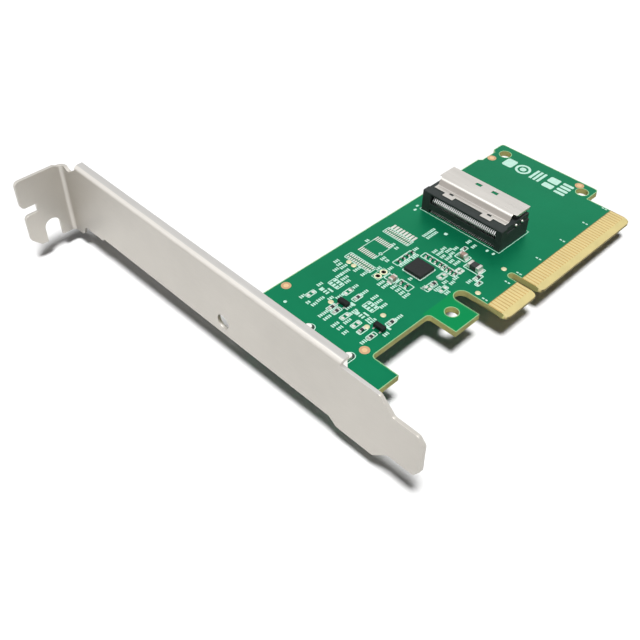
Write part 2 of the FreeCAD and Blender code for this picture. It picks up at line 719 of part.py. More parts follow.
def make_connector_housing():
    body = new_body("connector_housing")
    low = d.socket_low
    high = d.socket_high
    block = new_sketch(body, "XY_Plane", "housing_outline", 0)
    draw_box(block, d.socket_rear, d.socket_front, low, high)
    add_pad(body, block, d.socket_height, "housing_block")

    recess_half = d.recess_length * 0.5
    recess = new_sketch(body, "YZ_Plane", "rear_recess_outline", d.socket_rear)
    draw_box(recess, d.comb_middle - recess_half, d.comb_middle + recess_half, 0, d.recess_height)
    add_cut(body, recess, d.recess_front - d.socket_rear, "rear_recess", reverse=True)
    mouth_half = d.mouth_length * 0.5
    mouth = new_sketch(body, "YZ_Plane", "mouth_outline", d.socket_front)
    draw_box(mouth, d.comb_middle - mouth_half, d.comb_middle + mouth_half, d.mouth_low, d.mouth_high)
    add_cut(body, mouth, d.socket_front - d.mouth_back, "mouth", reverse=False)

    bar = new_sketch(body, "XZ_Plane", "spacer_bar_outline", -d.comb_middle)
    draw_polygon(bar, [
        (d.comb_bar_rear, d.comb_bar_low), (d.comb_bar_low_front, d.comb_bar_low),
        (d.comb_bar_high_front, d.comb_bar_high), (d.comb_bar_rear, d.comb_bar_high),
    ])
    add_middle_pad(body, bar, d.recess_length, "spacer_bar")

    for name, sign, end in (("near", 1, low), ("far", -1, high)):
        ledge = new_sketch(body, "XY_Plane", f"{name}_ledge_outline", d.socket_height)
        draw_box(ledge, d.ledge_rear, d.socket_front, end, end + d.ledge_depth * sign)
        add_cut(body, ledge, d.socket_height - d.ledge_height, f"{name}_ledge", reverse=False)
    rear_top = [xz(d.socket_rear, d.socket_height)]
    bevel_edges(body, ALONG_Y, rear_top, d.housing_chamfer, "housing_top_rear")

    row_start = contact_row_start()
    slot_half = d.contact_width * 0.5 + d.contact_gap
    for name, beam in (("upper", d.upper_beam), ("lower", d.lower_beam)):
        slot = new_sketch(body, "YZ_Plane", f"{name}_slot_outline", d.mouth_back)
        draw_box(slot, row_start - slot_half, row_start + slot_half,
                 beam - d.contact_gap, beam + d.contact_strip + d.contact_gap)
        cut = add_cut(body, slot, d.mouth_back - d.recess_front, f"{name}_slot", reverse=False)
        add_row(body, cut, "Y_Axis", contact_row_length(), d.contact_count, f"{name}_slots")


def make_contact_row(label, profile_points):
    """A row of bent strips with the given profile in X and Z."""
    body = new_body(label)
    profile = new_sketch(body, "XZ_Plane", f"{label}_profile", -contact_row_start())
    draw_polygon(profile, profile_points)
    blade = add_middle_pad(body, profile, d.contact_width, f"{label}_strip")
    add_row(body, blade, "Y_Axis", contact_row_length(), d.contact_count, f"{label}_row")


def make_upper_contacts():
    """Beam in the mouth, sloped shoulder behind it, leg leaning back inward and soldered foot."""
    strip = d.contact_strip
    foot_end = d.upper_tail - d.contact_foot
    make_contact_row("connector_upper_contacts", [
        (d.contact_tip, d.upper_beam + strip), (d.shoulder_start, d.upper_beam + strip),
        (d.shoulder_rear, d.shoulder_height), (d.upper_tail, strip), (foot_end, strip), (foot_end, 0),
        (d.upper_tail + strip * 1.35, 0), (d.shoulder_rear + strip, d.shoulder_height - strip * 0.33),
        (d.shoulder_start + strip * 0.55, d.upper_beam), (d.contact_tip, d.upper_beam),
    ])


def make_lower_contacts():
    """Beam in the mouth, straight leg and soldered foot."""
    strip = d.contact_strip
    foot_end = d.lower_tail - d.contact_foot
    make_contact_row("connector_lower_contacts", [
        (d.contact_tip, d.lower_beam + strip), (d.lower_tail, d.lower_beam + strip), (d.lower_tail, strip),
        (foot_end, strip), (foot_end, 0), (d.lower_tail + strip, 0),
        (d.lower_tail + strip, d.lower_beam), (d.contact_tip, d.lower_beam),
    ])


def make_connector_shell():
    body = new_body("connector_shell")
    thick = d.shell_sheet
    bed = d.socket_height
    plate_under = d.shell_top - thick
    middle = d.socket_middle
    profile = new_sketch(body, "XZ_Plane", "shell_profile", -middle)
    foot = d.shell_step
    head = d.shell_step + d.shell_step_run
    under_foot = foot + d.shell_step_shift
    under_head = head + d.shell_step_shift
    draw_polygon(profile, [
        (d.shell_strip_rear, bed), (under_foot, bed), (under_head, plate_under),
        (d.shell_front, plate_under), (d.shell_front, d.shell_top), (head, d.shell_top),
        (foot, bed + thick), (d.shell_strip_rear, bed + thick),
    ])
    add_middle_pad(body, profile, d.shell_strip_length, "shell_step_sheet")
    outer_bends = [xz(head, d.shell_top), xz(under_foot, bed)]
    round_edges(body, ALONG_Y, outer_bends, d.shell_bend, "shell_outer_bends")
    inner_bends = [xz(under_head, plate_under), xz(foot, bed + thick)]
    round_edges(body, ALONG_Y, inner_bends, d.shell_bend - thick, "shell_inner_bends")

    plate_half = d.shell_plate_length * 0.5
    plate = new_sketch(body, "XY_Plane", "plate_outline", plate_under)
    draw_box(plate, d.shell_plate_rear, d.shell_front, middle - plate_half, middle + plate_half)
    add_pad(body, plate, thick, "plate_sheet")
    for name, sign in (("near", -1), ("far", 1)):
        end = middle + plate_half * sign
        lip = new_sketch(body, "XZ_Plane", f"{name}_lip_outline", -end)
        draw_box(lip, d.lip_rear, d.lip_front, d.lip_low, plate_under)
        add_pad(body, lip, thick, f"{name}_lip", reverse=sign < 0)

    hook_half = d.shell_hook_width * 0.5
    eye_half = d.shell_eye_width * 0.5
    latch_half = d.latch_width * 0.5
    for name, sign in (("near", -1), ("far", 1)):
        hook_middle = middle + d.shell_hook_offset * sign
        hook = new_sketch(body, "XY_Plane", f"{name}_hook_outline", bed)
        draw_box(hook, d.shell_hook_rear, d.shell_strip_rear,
                 hook_middle - hook_half, hook_middle + hook_half)
        add_pad(body, hook, thick, f"{name}_hook")
        eye = new_sketch(body, "XY_Plane", f"{name}_eye_outline", bed + thick)
        draw_box(eye, d.shell_eye_rear, d.shell_eye_front, hook_middle - eye_half, hook_middle + eye_half)
        add_cut(body, eye, thick, f"{name}_eye", reverse=False)
        latch_middle = middle + d.latch_offset * sign
        latch = new_sketch(body, "XY_Plane", f"{name}_latch_outline", d.shell_top)
        draw_box(latch, d.latch_rear, d.latch_front, latch_middle - latch_half, latch_middle + latch_half)
        add_cut(body, latch, thick, f"{name}_latch_window", reverse=False)


# Surface-mount parts, each group a compound of plain solids

def new_box(name, x, y, z, length, width, height):
    """Box centred at x and y, standing on z, with its sizes bound to the sheet."""
    box = doc.addObject("Part::Box", name)
    bind(box, "Length", length)
    bind(box, "Width", width)
    bind(box, "Height", height)
    bind(box, "Placement.Base.x", as_size(x) - as_size(length) * 0.5)
    bind(box, "Placement.Base.y", as_size(y) - as_size(width) * 0.5)
    bind(box, "Placement.Base.z", z)
    return box


def new_group(label, members):
    group = doc.addObject("Part::Compound", label)
    group.Label = label
    group.Links = members
    sub_parts.append(group)
    return group


def make_chip_parts(body_label, cap_label, places, length, width, height):
    """Chip parts: a body between two end caps, lying along X or along Y."""
    cap_length = length * d.cap_share.value
    body_length = length - cap_length * 2
    body_width = width - d.cap_proud * 2
    body_height = height - d.cap_proud * 2
    cap_offset = (length - cap_length) * 0.5
    bodies = []
    caps = []
    for number, (x, y, lie) in enumerate(places):
        along_x = lie == "X"
        flat = (body_length, body_width) if along_x else (body_width, body_length)
        bodies.append(new_box(f"{body_label}_{number}", x, y, d.cap_proud, *flat, body_height))
        for end in (-1, 1):
            shift = cap_offset * end
            cap_x = as_size(x) + shift if along_x else x
            cap_y = y if along_x else as_size(y) + shift
            flat = (cap_length, width) if along_x else (width, cap_length)
            caps.append(new_box(f"{cap_label}_{number}_{end + 1}", cap_x, cap_y, 0, *flat, height))
    new_group(body_label, bodies)
    new_group(cap_label, caps)


def small_capacitor_places():
    """Small capacitors stand in a row above the chip and in two runs beside it."""
    places = [(-15.4 + 1.6 * n, 29.8, "Y") for n in range(4)]
    places += [(-9.1, 26.4 - 1.45 * n, "X") for n in range(4)]
    places += [(-9.3, 20.9 - 1.12 * n, "X") for n in range(4)]
    places += [(-20.6, 24.2, "X"), (-20.8, 22.6, "X"), (-0.3, 22.0, "X"), (-7.9, 11.6, "X")]
    return places


def make_controller():
    body = new_box("controller_ic", d.ic_x, d.ic_y, d.foil, d.ic_side, d.ic_side, d.ic_height)
    body.Label = "controller_ic"
    sub_parts.append(body)
    lands = []
    centre = d.ic_side * 0.5 + d.ic_pad_reach - d.ic_pad_length * 0.5
    count = int(d.ic_pad_count.value)
    for side in (-1, 1):
        for number in range(count):
            slide = d.ic_pad_pitch * (number - 0.5 * (count - 1))
            lands.append(new_box(f"ic_land_x_{side + 1}_{number}", d.ic_x + centre * side, d.ic_y + slide, 0,
                                 d.ic_pad_length, d.ic_pad_width, d.foil))
            lands.append(new_box(f"ic_land_y_{side + 1}_{number}", d.ic_x + slide, d.ic_y + centre * side, 0,
                                 d.ic_pad_width, d.ic_pad_length, d.foil))
    new_group("controller_ic_pads", lands)


def make_transistors():
    """Two moulded bodies with two leads on the bracket side and one on the other."""
    bodies = []
    leads = []
    for channel in range(2):
        x = TRANSISTOR_PLACE[0]
        y = TRANSISTOR_PLACE[1] + CHANNEL_STEP * channel
        bodies.append(new_box(f"transistor_body_{channel}", x, y, d.transistor_stand,
                              d.transistor_width, d.transistor_length, d.transistor_height))
        lead_sites = ((-1, -0.95), (-1, 0.95), (1, 0.0))
        for number, (side, slide) in enumerate(lead_sites):
            outer = d.transistor_width * 0.5 + d.transistor_reach * 0.5
            leads.append(new_box(f"transistor_lead_{channel}_{number}",
                                 as_size(x) + outer * side, y + slide, 0,
                                 d.transistor_reach, d.transistor_lead, d.transistor_lead_sheet))
    new_group("transistor_bodies", bodies)
    new_group("transistor_leads", leads)


def make_bare_pads():
    """Bare lands on the board: an eight-lead outline and two blocks of lands."""
    lands = []

    def land_grid(name, x_first, y_first, x_step, y_step, columns, rows, length, width):
        for column in range(columns):
            for row_number in range(rows):
                lands.append(new_box(f"{name}_{column}_{row_number}", x_first + x_step * column,
                                     y_first + y_step * row_number, 0, length, width, d.foil))

    land_grid("eight_lead", -18.0, 35.4, 5.4, 1.27, 2, 4, 1.5, 0.6)
    land_grid("far_block", -8.2, 33.0, 2.1, 1.12, 2, 7, 1.5, 0.6)
    land_grid("near_block", -22.2, 33.0, 0, 1.12, 1, 7, 1.5, 0.6)
    new_group("bare_solder_pads", lands)


make_circuit_board()
make_edge_contacts("edge_contacts_component_side", 0, False)
make_edge_contacts("edge_contacts_solder_side", -d.board_thickness, True)
make_bracket()
make_mounting_lugs()
make_bracket_screws()
make_connector_housing()
make_upper_contacts()
make_lower_contacts()
make_connector_shell()
make_controller()
make_chip_parts("capacitor_bodies", "capacitor_end_caps", BULK_CAPACITORS,
                d.bulk_length, d.bulk_width, d.bulk_height)
make_chip_parts("inductor_body", "inductor_end_caps", INDUCTORS,
                d.inductor_length, d.inductor_width, d.inductor_height)
make_chip_parts("resistor_bodies", "resistor_end_caps", RESISTORS,
                d.resistor_length, d.resistor_width, d.resistor_height)
make_chip_parts("small_capacitor_bodies", "small_capacitor_end_caps", small_capacitor_places(),
                d.small_length, d.small_width, d.small_height)
make_transistors()
make_bare_pads()
doc.recompute()

for thing in doc.Objects:
    if "Invalid" in thing.State or "Error" in thing.State:
        raise RuntimeError(f"{thing.Label}: {thing.State}")
for sub_part in sub_parts:
    if sub_part.Shape.isNull() or not sub_part.Shape.isValid():
        raise RuntimeError(f"{sub_part.Label}: bad shape")

os.makedirs("parts", exist_ok=True)
for sub_part in sub_parts:
    sub_part.Shape.exportStep(f"parts/{sub_part.Label}.step")
    print(sub_part.Label, len(sub_part.Shape.Solids), round(sub_part.Shape.Volume, 3))
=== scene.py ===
"""Adapter card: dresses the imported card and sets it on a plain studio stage."""

import math

import bmesh
import bpy
from mathutils import Matrix, Vector


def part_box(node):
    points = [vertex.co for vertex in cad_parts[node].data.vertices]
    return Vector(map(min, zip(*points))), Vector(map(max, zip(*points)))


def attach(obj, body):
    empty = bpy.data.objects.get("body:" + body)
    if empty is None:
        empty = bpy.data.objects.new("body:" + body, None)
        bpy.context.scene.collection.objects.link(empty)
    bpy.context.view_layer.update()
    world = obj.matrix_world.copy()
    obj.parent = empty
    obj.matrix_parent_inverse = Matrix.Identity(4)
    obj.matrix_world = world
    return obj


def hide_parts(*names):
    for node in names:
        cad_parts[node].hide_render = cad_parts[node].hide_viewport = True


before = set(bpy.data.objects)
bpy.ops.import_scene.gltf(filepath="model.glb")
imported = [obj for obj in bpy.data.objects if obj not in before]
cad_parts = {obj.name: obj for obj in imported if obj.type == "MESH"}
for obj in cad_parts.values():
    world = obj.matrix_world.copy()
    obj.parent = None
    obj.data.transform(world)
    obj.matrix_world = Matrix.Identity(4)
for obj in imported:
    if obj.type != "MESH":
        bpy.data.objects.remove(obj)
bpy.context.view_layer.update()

bl_info = {
    "name": "Adapter card",
    "version": (1, 0, 0),
    "blender": (4, 5, 0),
    "location": "View3D > Sidebar > Adapter card",
    "description": "Board, bracket, cable receptacle, chips and print of an adapter card",
    "category": "Object",
}

MM = 0.001
BODY = "root"
SQUARE = ((-1, -1), (1, -1), (1, 1), (-1, 1))

# Angles in degrees from which an edge is kept, and from which it is crisp.
KEPT_ANGLE = 0.5
SHARP_ANGLE = 32

# Sizes below are in millimetres, on the board's own frame: X from the key notch away from the
# bracket, Y up the card from the contact ends, Z above the component side.

# Distances within which corners of a solid are one, and within which a corner lies on a cut.
MERGE_DISTANCE = 0.001
CUT_DISTANCE = 0.0001

# Board: edge of the lacquer above the contacts, tab with the hole, underside, and corner of a contact.
MASK_EDGE = 5.72
TONGUE_START = -12.6
# Where the lacquer's edge above the contacts gets a painted shadow: its start in X and depth.
EDGE_SHADOW_START = -12.3
EDGE_SHADOW_DEPTH = 0.25
TAB_START = -26.0
TAB_END = -12.2
TAB_TOP = 13.9
BOARD_UNDERSIDE = -1.57
CONTACT_CORNER = 0.16

# Upward parts of a face's normal from which it counts as sloping, and as flat.
SLOPING = 0.2
FLAT = 0.999

# Part of a face's normal along Y below which it faces the slot that the card goes into.
FACING_SLOT = -0.1

# Lands: heights above the board, and sizes of the unfitted, turned and ring-shaped ones.
LAND_HEIGHT = 0.03
COMB_HEIGHT = 0.035
COMB_CORNER = 0.08
UNFITTED_SPREAD = 0.75
UNFITTED_SIZE = (0.75, 0.8, 0.15)
WINDOW_PROFILE = [(0, 0), (1.22, 0), (1.22, 0.018), (0, 0.018)]
DOT_PROFILE = [(0, 0), (0.62, 0), (0.62, 0.03), (0.5, 0.04), (0, 0.045)]
DOME_PROFILE = [(0, 0), (0.68, 0), (0.66, 0.04), (0.5, 0.08), (0.25, 0.1), (0, 0.105)]
HEADER_RING = (0.95, 0.6, 0.05)
HEADER_COLLAR = (0.598, 0.40, 0.03)
HEADER_BARREL = (0.448, 0.40)

# Middles of the parts with a print frame of one size: fitted resistors and unfitted parts.
RESISTOR_FRAMES = [
    (-31.8, 27.9), (-38.2, 29.7), (-38.3, 28.1), (-32.3, 17.0), (-38.7, 19.7), (-38.5, 17.1),
]
UNFITTED_PARTS = [
    (-31.8, 30.8), (-38.4, 36.3), (-38.2, 25.5), (-38.3, 22.0), (-15.4, 16.1), (-12.0, 19.2),
]
SMALL_FRAME = (2.9, 1.5)

# Middles of round lands and holes, and the lines in Y of the two lugs.
TEST_POINTS = [
    (-37.1, 31.1), (-37.1, 19.8), (-31.8, 19.8), (-24.0, 38.1), (-24.1, 36.4), (-10.6, 9.7), (0.6, 10.7),
]
ALIGNMENT_MARKS = [(-40.6, 42.3), (-42.7, 15.2), (36.6, 41.9), (42.75, 17.5)]
HEADER_HOLES = [(-22.8, 29.8), (-20.8, 29.8)]
LUG_LINES = [16.1, 28.4]

# Lowest points of the ear, of the bracket's shoulder and of the far end, on which the card rests.
REST_POINTS = [(-65.0, 105.0, -8.0), (-58.8, 2.0, -5.5), (44.5, 12.0, -1.57)]

# Rows of bare lands along Y: middle in X, first in Y, pitch, count, and length and width of a land.
LAND_COMBS = [
    (-18.3, 35.1, 0.58, 9, 1.7, 0.32), (-12.6, 35.1, 0.58, 9, 1.7, 0.32),
    (-6.1, 33.0, 0.98, 8, 1.8, 0.66),
    (-7.7, 32.9, 0.65, 12, 0.8, 0.4), (-8.8, 32.9, 0.65, 12, 0.8, 0.4),
    (-21.65, 32.5, 0.65, 12, 0.8, 0.4), (-22.75, 32.5, 0.65, 12, 0.8, 0.4),
    (-7.2, 17.1, 1.0, 2, 0.7, 0.7), (-8.1, 17.1, 1.0, 2, 0.7, 0.7), (-17.6, 18.3, 1.0, 2, 0.9, 0.7),
]

# Print: its height, line width and corner of the frames, and share of the line lost at the inner corner.
PRINT_HEIGHT = 0.016
FRAME_LINE = 0.26
FRAME_CORNER = 0.35
CORNER_LOSS = 0.8

# Blocks in a row: widths and heights in turn, gap, spare length at the end and corner.
ROW_WIDTHS = (0.36, 0.46, 0.3, 0.42)
ROW_HEIGHTS = (0.96, 0.82)
ROW_GAP = 0.2
ROW_SPARE = 0.1
ROW_CORNER = 0.1

# Short rows of plain blocks beside the parts: start in X, middle in Y and length.
BLOCK_ROWS = [
    (-41.2, 37.0, 1.7), (-35.4, 37.2, 1.8), (-41.4, 34.6, 1.1), (-41.1, 33.2, 1.8), (-39.2, 33.4, 2.1),
    (-26.7, 40.4, 1.6), (-27.0, 39.1, 1.8), (-29.0, 38.3, 1.8), (-27.2, 37.8, 2.4), (-28.6, 36.2, 3.0),
    (-30.2, 36.2, 1.4), (-30.0, 34.7, 1.9), (-30.1, 33.4, 1.6), (-30.6, 30.9, 2.1), (-30.3, 28.0, 1.9),
    (-29.9, 25.2, 2.1), (-30.3, 23.6, 1.9), (-30.5, 21.9, 1.9), (-42.5, 29.5, 2.5), (-42.4, 28.0, 1.9),
    (-42.7, 25.2, 2.3), (-42.4, 23.7, 1.4), (-42.6, 21.9, 1.7), (-36.6, 15.3, 1.5), (-41.9, 17.1, 2.2),
    (-30.8, 16.9, 2.0), (-25.2, 27.6, 1.9), (-25.2, 26.2, 2.6), (-23.8, 24.6, 2.3), (-23.8, 23.2, 1.7),
    (-24.0, 21.9, 1.8), (-24.2, 20.6, 1.9), (-18.6, 23.8, 1.2), (-21.4, 31.6, 1.4), (-19.3, 29.6, 1.8),
    (-25.6, 34.9, 2.0), (-25.5, 32.6, 2.8), (-36.4, 27.0, 2.4), (-36.8, 25.2, 2.1), (-40.0, 24.0, 2.3),
    (-37.0, 32.0, 1.4), (-35.4, 31.0, 2.0), (-36.0, 20.2, 2.2), (-35.9, 21.2, 1.8),
    (-17.9, 33.3, 1.8), (-17.6, 32.1, 1.3), (-15.4, 40.7, 1.2),
    (-16.5, 28.5, 2.0), (-14.2, 28.5, 1.8), (-12.1, 28.4, 1.9), (-9.6, 30.2, 1.7), (-11.9, 35.2, 0.9),
    (-12.4, 33.7, 0.9),
    (-6.9, 26.4, 1.7), (-6.9, 25.1, 1.9), (-7.0, 23.8, 1.5), (-6.8, 22.5, 1.9), (-6.9, 21.2, 1.7),
    (-6.8, 19.9, 1.9), (-4.6, 25.6, 1.6), (-4.5, 24.3, 1.9), (-4.6, 23.0, 1.4), (-2.4, 23.6, 1.8),
    (-16.9, 18.4, 1.6), (-17.2, 17.1, 1.9), (-16.4, 14.7, 1.7), (-13.9, 17.4, 1.8), (-12.9, 16.1, 1.6),
    (-11.0, 16.6, 1.5), (-18.9, 19.6, 1.5), (1.9, 23.0, 1.8), (1.4, 21.0, 1.8), (-9.7, 13.6, 1.4),
    (-3.8, 32.2, 4.7), (-3.7, 31.0, 4.0),
]

# Print frames round single parts and groups: middle in X and Y, length and width.
PART_FRAMES = [
    (-21.1, 27.0, 2.4, 3.2), (-20.7, 23.2, 2.4, 4.2), (-2.9, 20.3, 2.6, 3.6), (-4.3, 15.7, 2.9, 4.9),
    (-13.4, 29.9, 6.8, 2.0), (-9.1, 24.2, 2.2, 7.2), (-9.3, 19.2, 2.2, 4.6), (-7.9, 11.6, 2.2, 1.3),
    (-0.3, 22.0, 2.2, 1.3), (-31.8, 34.7, 2.6, 3.4), (-31.8, 23.7, 2.6, 3.4), (-16.8, 18.8, 4.0, 1.9),
    (-12.0, 19.2, 2.6, 1.9), (-7.6, 17.6, 2.2, 1.9), (-6.4, 13.0, 2.9, 1.5), (-8.25, 36.5, 2.6, 8.4),
    (-22.2, 36.1, 2.6, 8.6),
]
CHIP_FRAME = (-14.15, 24.55, 5.85, 5.85, 0.28)

# Outer and inner rectangle round the header holes: middle, length, width and corner.
HEADER_FRAME = ((-21.8, 29.8, 4.3, 2.3, 0.2), (-21.8, 29.8, 4.0, 2.0, 0.1))

# Middles of two groups of six blocks, with the spread, pitch and size of a block.
SIX_BLOCKS = [(-31.8, 34.7), (-31.8, 23.7)]
SIX_SPREAD = 0.6
SIX_PITCH = 0.95
SIX_SIZE = (0.85, 0.6, 0.1, 2)

# Middles of two groups of bars and three blocks, with the ends of the bars from the middle.
BAR_GROUPS = [(-35.2, 34.6), (-35.2, 23.3)]
GROUP_BARS = [((0.9, -1.4), (0.9, 0.2)), ((-0.9, 1.3), (0.3, 1.3))]
GROUP_LINE = 0.5
GROUP_SHIFT = -0.3
GROUP_PITCH = 0.8
GROUP_SIZE = (1.1, 0.46, 0.1, 2)

# Pairs of small blocks above the contacts: middles in X, and the two middles in Y.
EDGE_DASHES = [-11.2, -2.7, 1.85, 9.7, 19.7, 29.7, 38.6]
DASH_LINES = (6.8, 7.7)
DASH_SIZE = (0.42, 0.62, 0.12)

# Line round the receptacle: left, right, low and high side, length of the hooks and line width.
RECEPTACLE_LINE = (4.45, 16.6, 15.1, 40.4, 0.9, 0.13)

# Single bars of print: start, end and width.
PRINT_BARS = [
    ((-18.9, 39.85), (-11.8, 39.85), 0.2), ((-18.9, 34.75), (-11.8, 34.75), 0.2),
    ((-34.0, 26.4), (-34.0, 27.8), 0.55), ((-34.0, 15.5), (-34.0, 16.9), 0.55),
    ((36.2, 29.0), (40.8, 29.0), 0.75), ((36.2, 27.8), (40.8, 27.8), 0.75),
    ((36.2, 26.6), (40.8, 26.6), 0.75),
]

# Single blocks of print: middle in X and Y, length, width and corner.
PRINT_BLOCKS = [
    (3.2, 40.9, 0.9, 0.6, 0.2), (4.9, 41.6, 0.9, 0.6, 0.2), (3.2, 17.7, 0.9, 0.6, 0.2),
    (3.3, 15.9, 0.9, 0.6, 0.2), (1.05, 28.9, 0.9, 0.9, 0.2), (38.2, 36.9, 3.8, 3.2, 0.6),
    (36.7, 23.4, 2.0, 3.2, 0.4), (39.7, 23.4, 2.6, 3.2, 0.4), (36.0, 19.4, 1.0, 3.2, 0.3),
    (37.5, 19.4, 1.0, 3.2, 0.3), (39.0, 19.4, 1.0, 3.2, 0.3), (40.5, 19.4, 1.0, 3.2, 0.3),
]

# Rings of print, with outer and inner radius, and discs: middle, radius and number of corners.
PRINT_RINGS = [(-16.3, 34.9, 0.55, 0.25, 20), (38.2, 32.5, 2.2, 1.5, 32)]
PRINT_DISCS = [(-44.5, 38.4, 0.42, 16), (38.2, 32.5, 0.9, 24)]

# Printed ring round each lug nose, and the dark crescent inside it, painted as the shadow at the nose's
# edge: middles in X, radii, and the crescent's reach to each side in degrees and height.
NOSE_START = -48.7
NOSE_MIDDLE = -46.2
NOSE_RINGS = (1.22, 1.02)
CRESCENT_ARCS = ((-46.2, 1.0), (-46.8, 0.88))
CRESCENT_REACH = 78
CRESCENT_HEIGHT = 0.0112

# Bracket: height of the bend under the flange, heights over which the bend's painted shade turns to a painted
# highlight, its end near the ear, least upward parts of the normals of bend and flange, and where the lug
# noses begin.
BEND_LOW = 12.5
BEND_PAINTED_RAMP = (12.9, 14.1)
BEND_END = 98.6
BEND_FACING = 0.3
FLANGE_FACING = 0.95
NOSES_BEGIN = -52

# Screws: middle in X, tip, thread with its first crest and root below the tip, and least height of the
# thread above the head.
SCREW_MIDDLE = -53.9
TIP_RADIUS = 1.1
TIP_BEVEL = 0.3
THREAD_RADIUS = 1.44
THREAD_ROOT = 1.3
THREAD_PITCH = 0.5
THREAD_TURNS = 4
CREST_DROP = 0.42
ROOT_DROP = 0.62
THREAD_STOP = 0.05

# Screw head: side with heights from the board's underside, and crown with heights from its own bottom.
HEAD_SIDE = [(2.7, 0), (2.7, -0.45), (2.62, -0.75), (2.3, -1.2)]
HEAD_CROWN = [(1.7, 0.1), (1.0, 0), (0, 0)]

# Cross recess: its size, and shares of the length and width, with the height, at its mouth and end.
RECESS_LENGTH = 2.9
RECESS_WIDTH = 0.62
RECESS_LOOPS = [(0.5, 0.5, -0.1), (0.25, 0.4, 0.95)]

# Receptacle: contact strips with their bends in X and Z, solder and a dark sheet of painted shade at their
# feet, and two nubs.
CONTACT_COUNT = 37
CONTACT_PITCH = 0.55
STRIP_WIDTH = 0.24
STRIP_THICKNESS = 0.16
STRIP_BEND = 0.22
STRIP_INSET = 0.03
FOOT_HEIGHT = 0.1
CONTACT_BENDS = {
    "connector_upper_contacts": [(6.2, 4.25), (5.5, 3.33), (5.97, FOOT_HEIGHT)],
    "connector_lower_contacts": [(7.55, 1.7), (7.55, FOOT_HEIGHT)],
}
FOOT_OFFSET = (-0.12, 0.15)
FOOT_PROFILE = [(0, 0), (0.14, 0), (0.12, 0.14), (0.06, 0.24), (0, 0.25)]
FOOT_SHADE_OFFSET = (0.3, 10.05)
FOOT_SHADE_SIZE = (1.1, 20.6, 0.1)
FOOT_SHADE_HEIGHT = 0.012
NUB_PLACES = [(10.5, 15.52), (12.93, 15.52)]
NUB_PROFILE = [(0, 4.87), (0.3, 4.93), (0.36, 5.15), (0.3, 5.35), (0.16, 5.47), (0, 5.51)]

# Slope of the shell, painted in shade with a painted highlight near its top: least and greatest upward part
# of its normal, greatest part along X, and the heights between which it turns paler into that highlight.
SLOPE_RISE = (0.3, 0.9)
SLOPE_SIDE = -0.3
SLOPE_PAINTED_RAMP = (7.3, 7.7)

# Wider than the shell's sheet, so its rounding is held to the widest that fits.
SHELL_ROUNDING = 60.0

# Dimple on the chip: middle, profile with heights from the chip's top, and its lighter shade.
DIMPLE_PLACE = (-15.9, 22.9)
DIMPLE_PROFILE = [(0, -0.02), (0.32, -0.02), (0.32, 0.004), (0.26, 0.004), (0.2, -0.012), (0, -0.012)]
DIMPLE_SHADE = 1.5

# Solder fillets: height as a share of the cap, run as a share of that height, least run, overlap with
# the cap, spare width at each side, taper of the ends, height of the foot, and hollow curve from the foot
# up, as shares of the run and the height.
FILLET_RISE = 0.62
FILLET_RUN = 0.6
FILLET_LEAST = 0.22
FILLET_OVERLAP = 0.05
FILLET_SPARE = 0.06
FILLET_TAPER = 0.8
FILLET_FOOT = 0.03
FILLET_CURVE = [(0.45, 0.22), (0.14, 0.6)]

# Stage, in metres, with the sensor in millimetres: the floor, its glow and finish, camera and lamps.
FLOOR_REACH = 2.5
FLOOR_LIFT = 0.006
FLOOR_ROUGHNESS = 0.9
STRAY_FLOOR = (0.06, 0.06, 0.06, 1.0)
WHITE = (1.0, 1.0, 1.0, 1.0)
SENSOR_WIDTH = 36.0
CLIP_START = 0.005
SUN_PLACE = (-0.20, -0.20, 1.0)
FRONT_PLACE = (-0.50, 0.44, 0.26)
FRONT_SIZE = 0.30


# Settings

def tone(red, green, blue):
    """Linear colour of an 8-bit display colour."""
    channels = []
    for value in (red, green, blue):
        share = value / 255
        channels.append(share / 12.92 if share <= 0.04045 else ((share + 0.055) / 1.055) ** 2.4)
    return (*channels, 1.0)


def colour_setting(name, description, red, green, blue):
    return bpy.props.FloatVectorProperty(
        name=name, description=description, subtype="COLOR", size=4, min=0.0, max=1.0,
        default=tone(red, green, blue),
    )


def length_setting(name, description, millimetres):
    return bpy.props.FloatProperty(
        name=name, description=description, unit="LENGTH", precision=5, default=millimetres * MM,
    )


def angle_setting(name, description, degrees):
    return bpy.props.FloatProperty(
        name=name, description=description, subtype="ANGLE", default=math.radians(degrees),
    )


def level_setting(name, description, level):
    return bpy.props.FloatProperty(name=name, description=description, min=0.0, default=level)


class BoardSettings(bpy.types.PropertyGroup):
    """Finishes of the circuit board, its print and its bare metal."""

    mask: colour_setting("Solder mask", "Green lacquer of the board", 12, 127, 86)
    thin_mask: colour_setting("Thin mask", "Lacquer with no copper under it", 2, 138, 78)
    rim: colour_setting("Rim", "Pale laminate along the routed edges", 158, 206, 150)
    laminate: colour_setting("Laminate", "Sawn edge of the board", 238, 234, 152)
    bare: colour_setting("Bare laminate", "Laminate between the edge contacts", 200, 164, 98)
    bevel: colour_setting("Bevel", "Lead-in bevel of the card edge", 216, 200, 138)
    ink: colour_setting("Print", "Pale print on the lacquer", 196, 236, 220)
    gold: colour_setting("Gold", "Edge contacts", 232, 213, 153)
    copper: colour_setting("Copper", "Alignment marks", 216, 174, 134)
    tin: colour_setting("Tin", "Lands of the parts", 232, 232, 224)
    rim_width: length_setting("Rim width", "Width of the pale rim", 0.2)


class BracketSettings(bpy.types.PropertyGroup):
    """Finish of the bracket, its lugs and screws."""

    plate: colour_setting("Plating", "Satin plating of the bracket", 197, 193, 186)
    screw: colour_setting("Screws", "Plating of the screws", 200, 198, 192)
    rounding: length_setting("Edge rounding", "Rounding of the sheared sheet edges", 0.11)


class ReceptacleSettings(bpy.types.PropertyGroup):
    """Finish of the cable receptacle."""

    moulding: colour_setting("Moulding", "Black housing", 50, 56, 55)
    shell: colour_setting("Shell", "Stamped shell", 220, 216, 210)
    strip: colour_setting("Contacts", "Tinned contact strips", 244, 246, 244)
    rounding: length_setting("Edge rounding", "Rounding of the housing edges", 0.07)


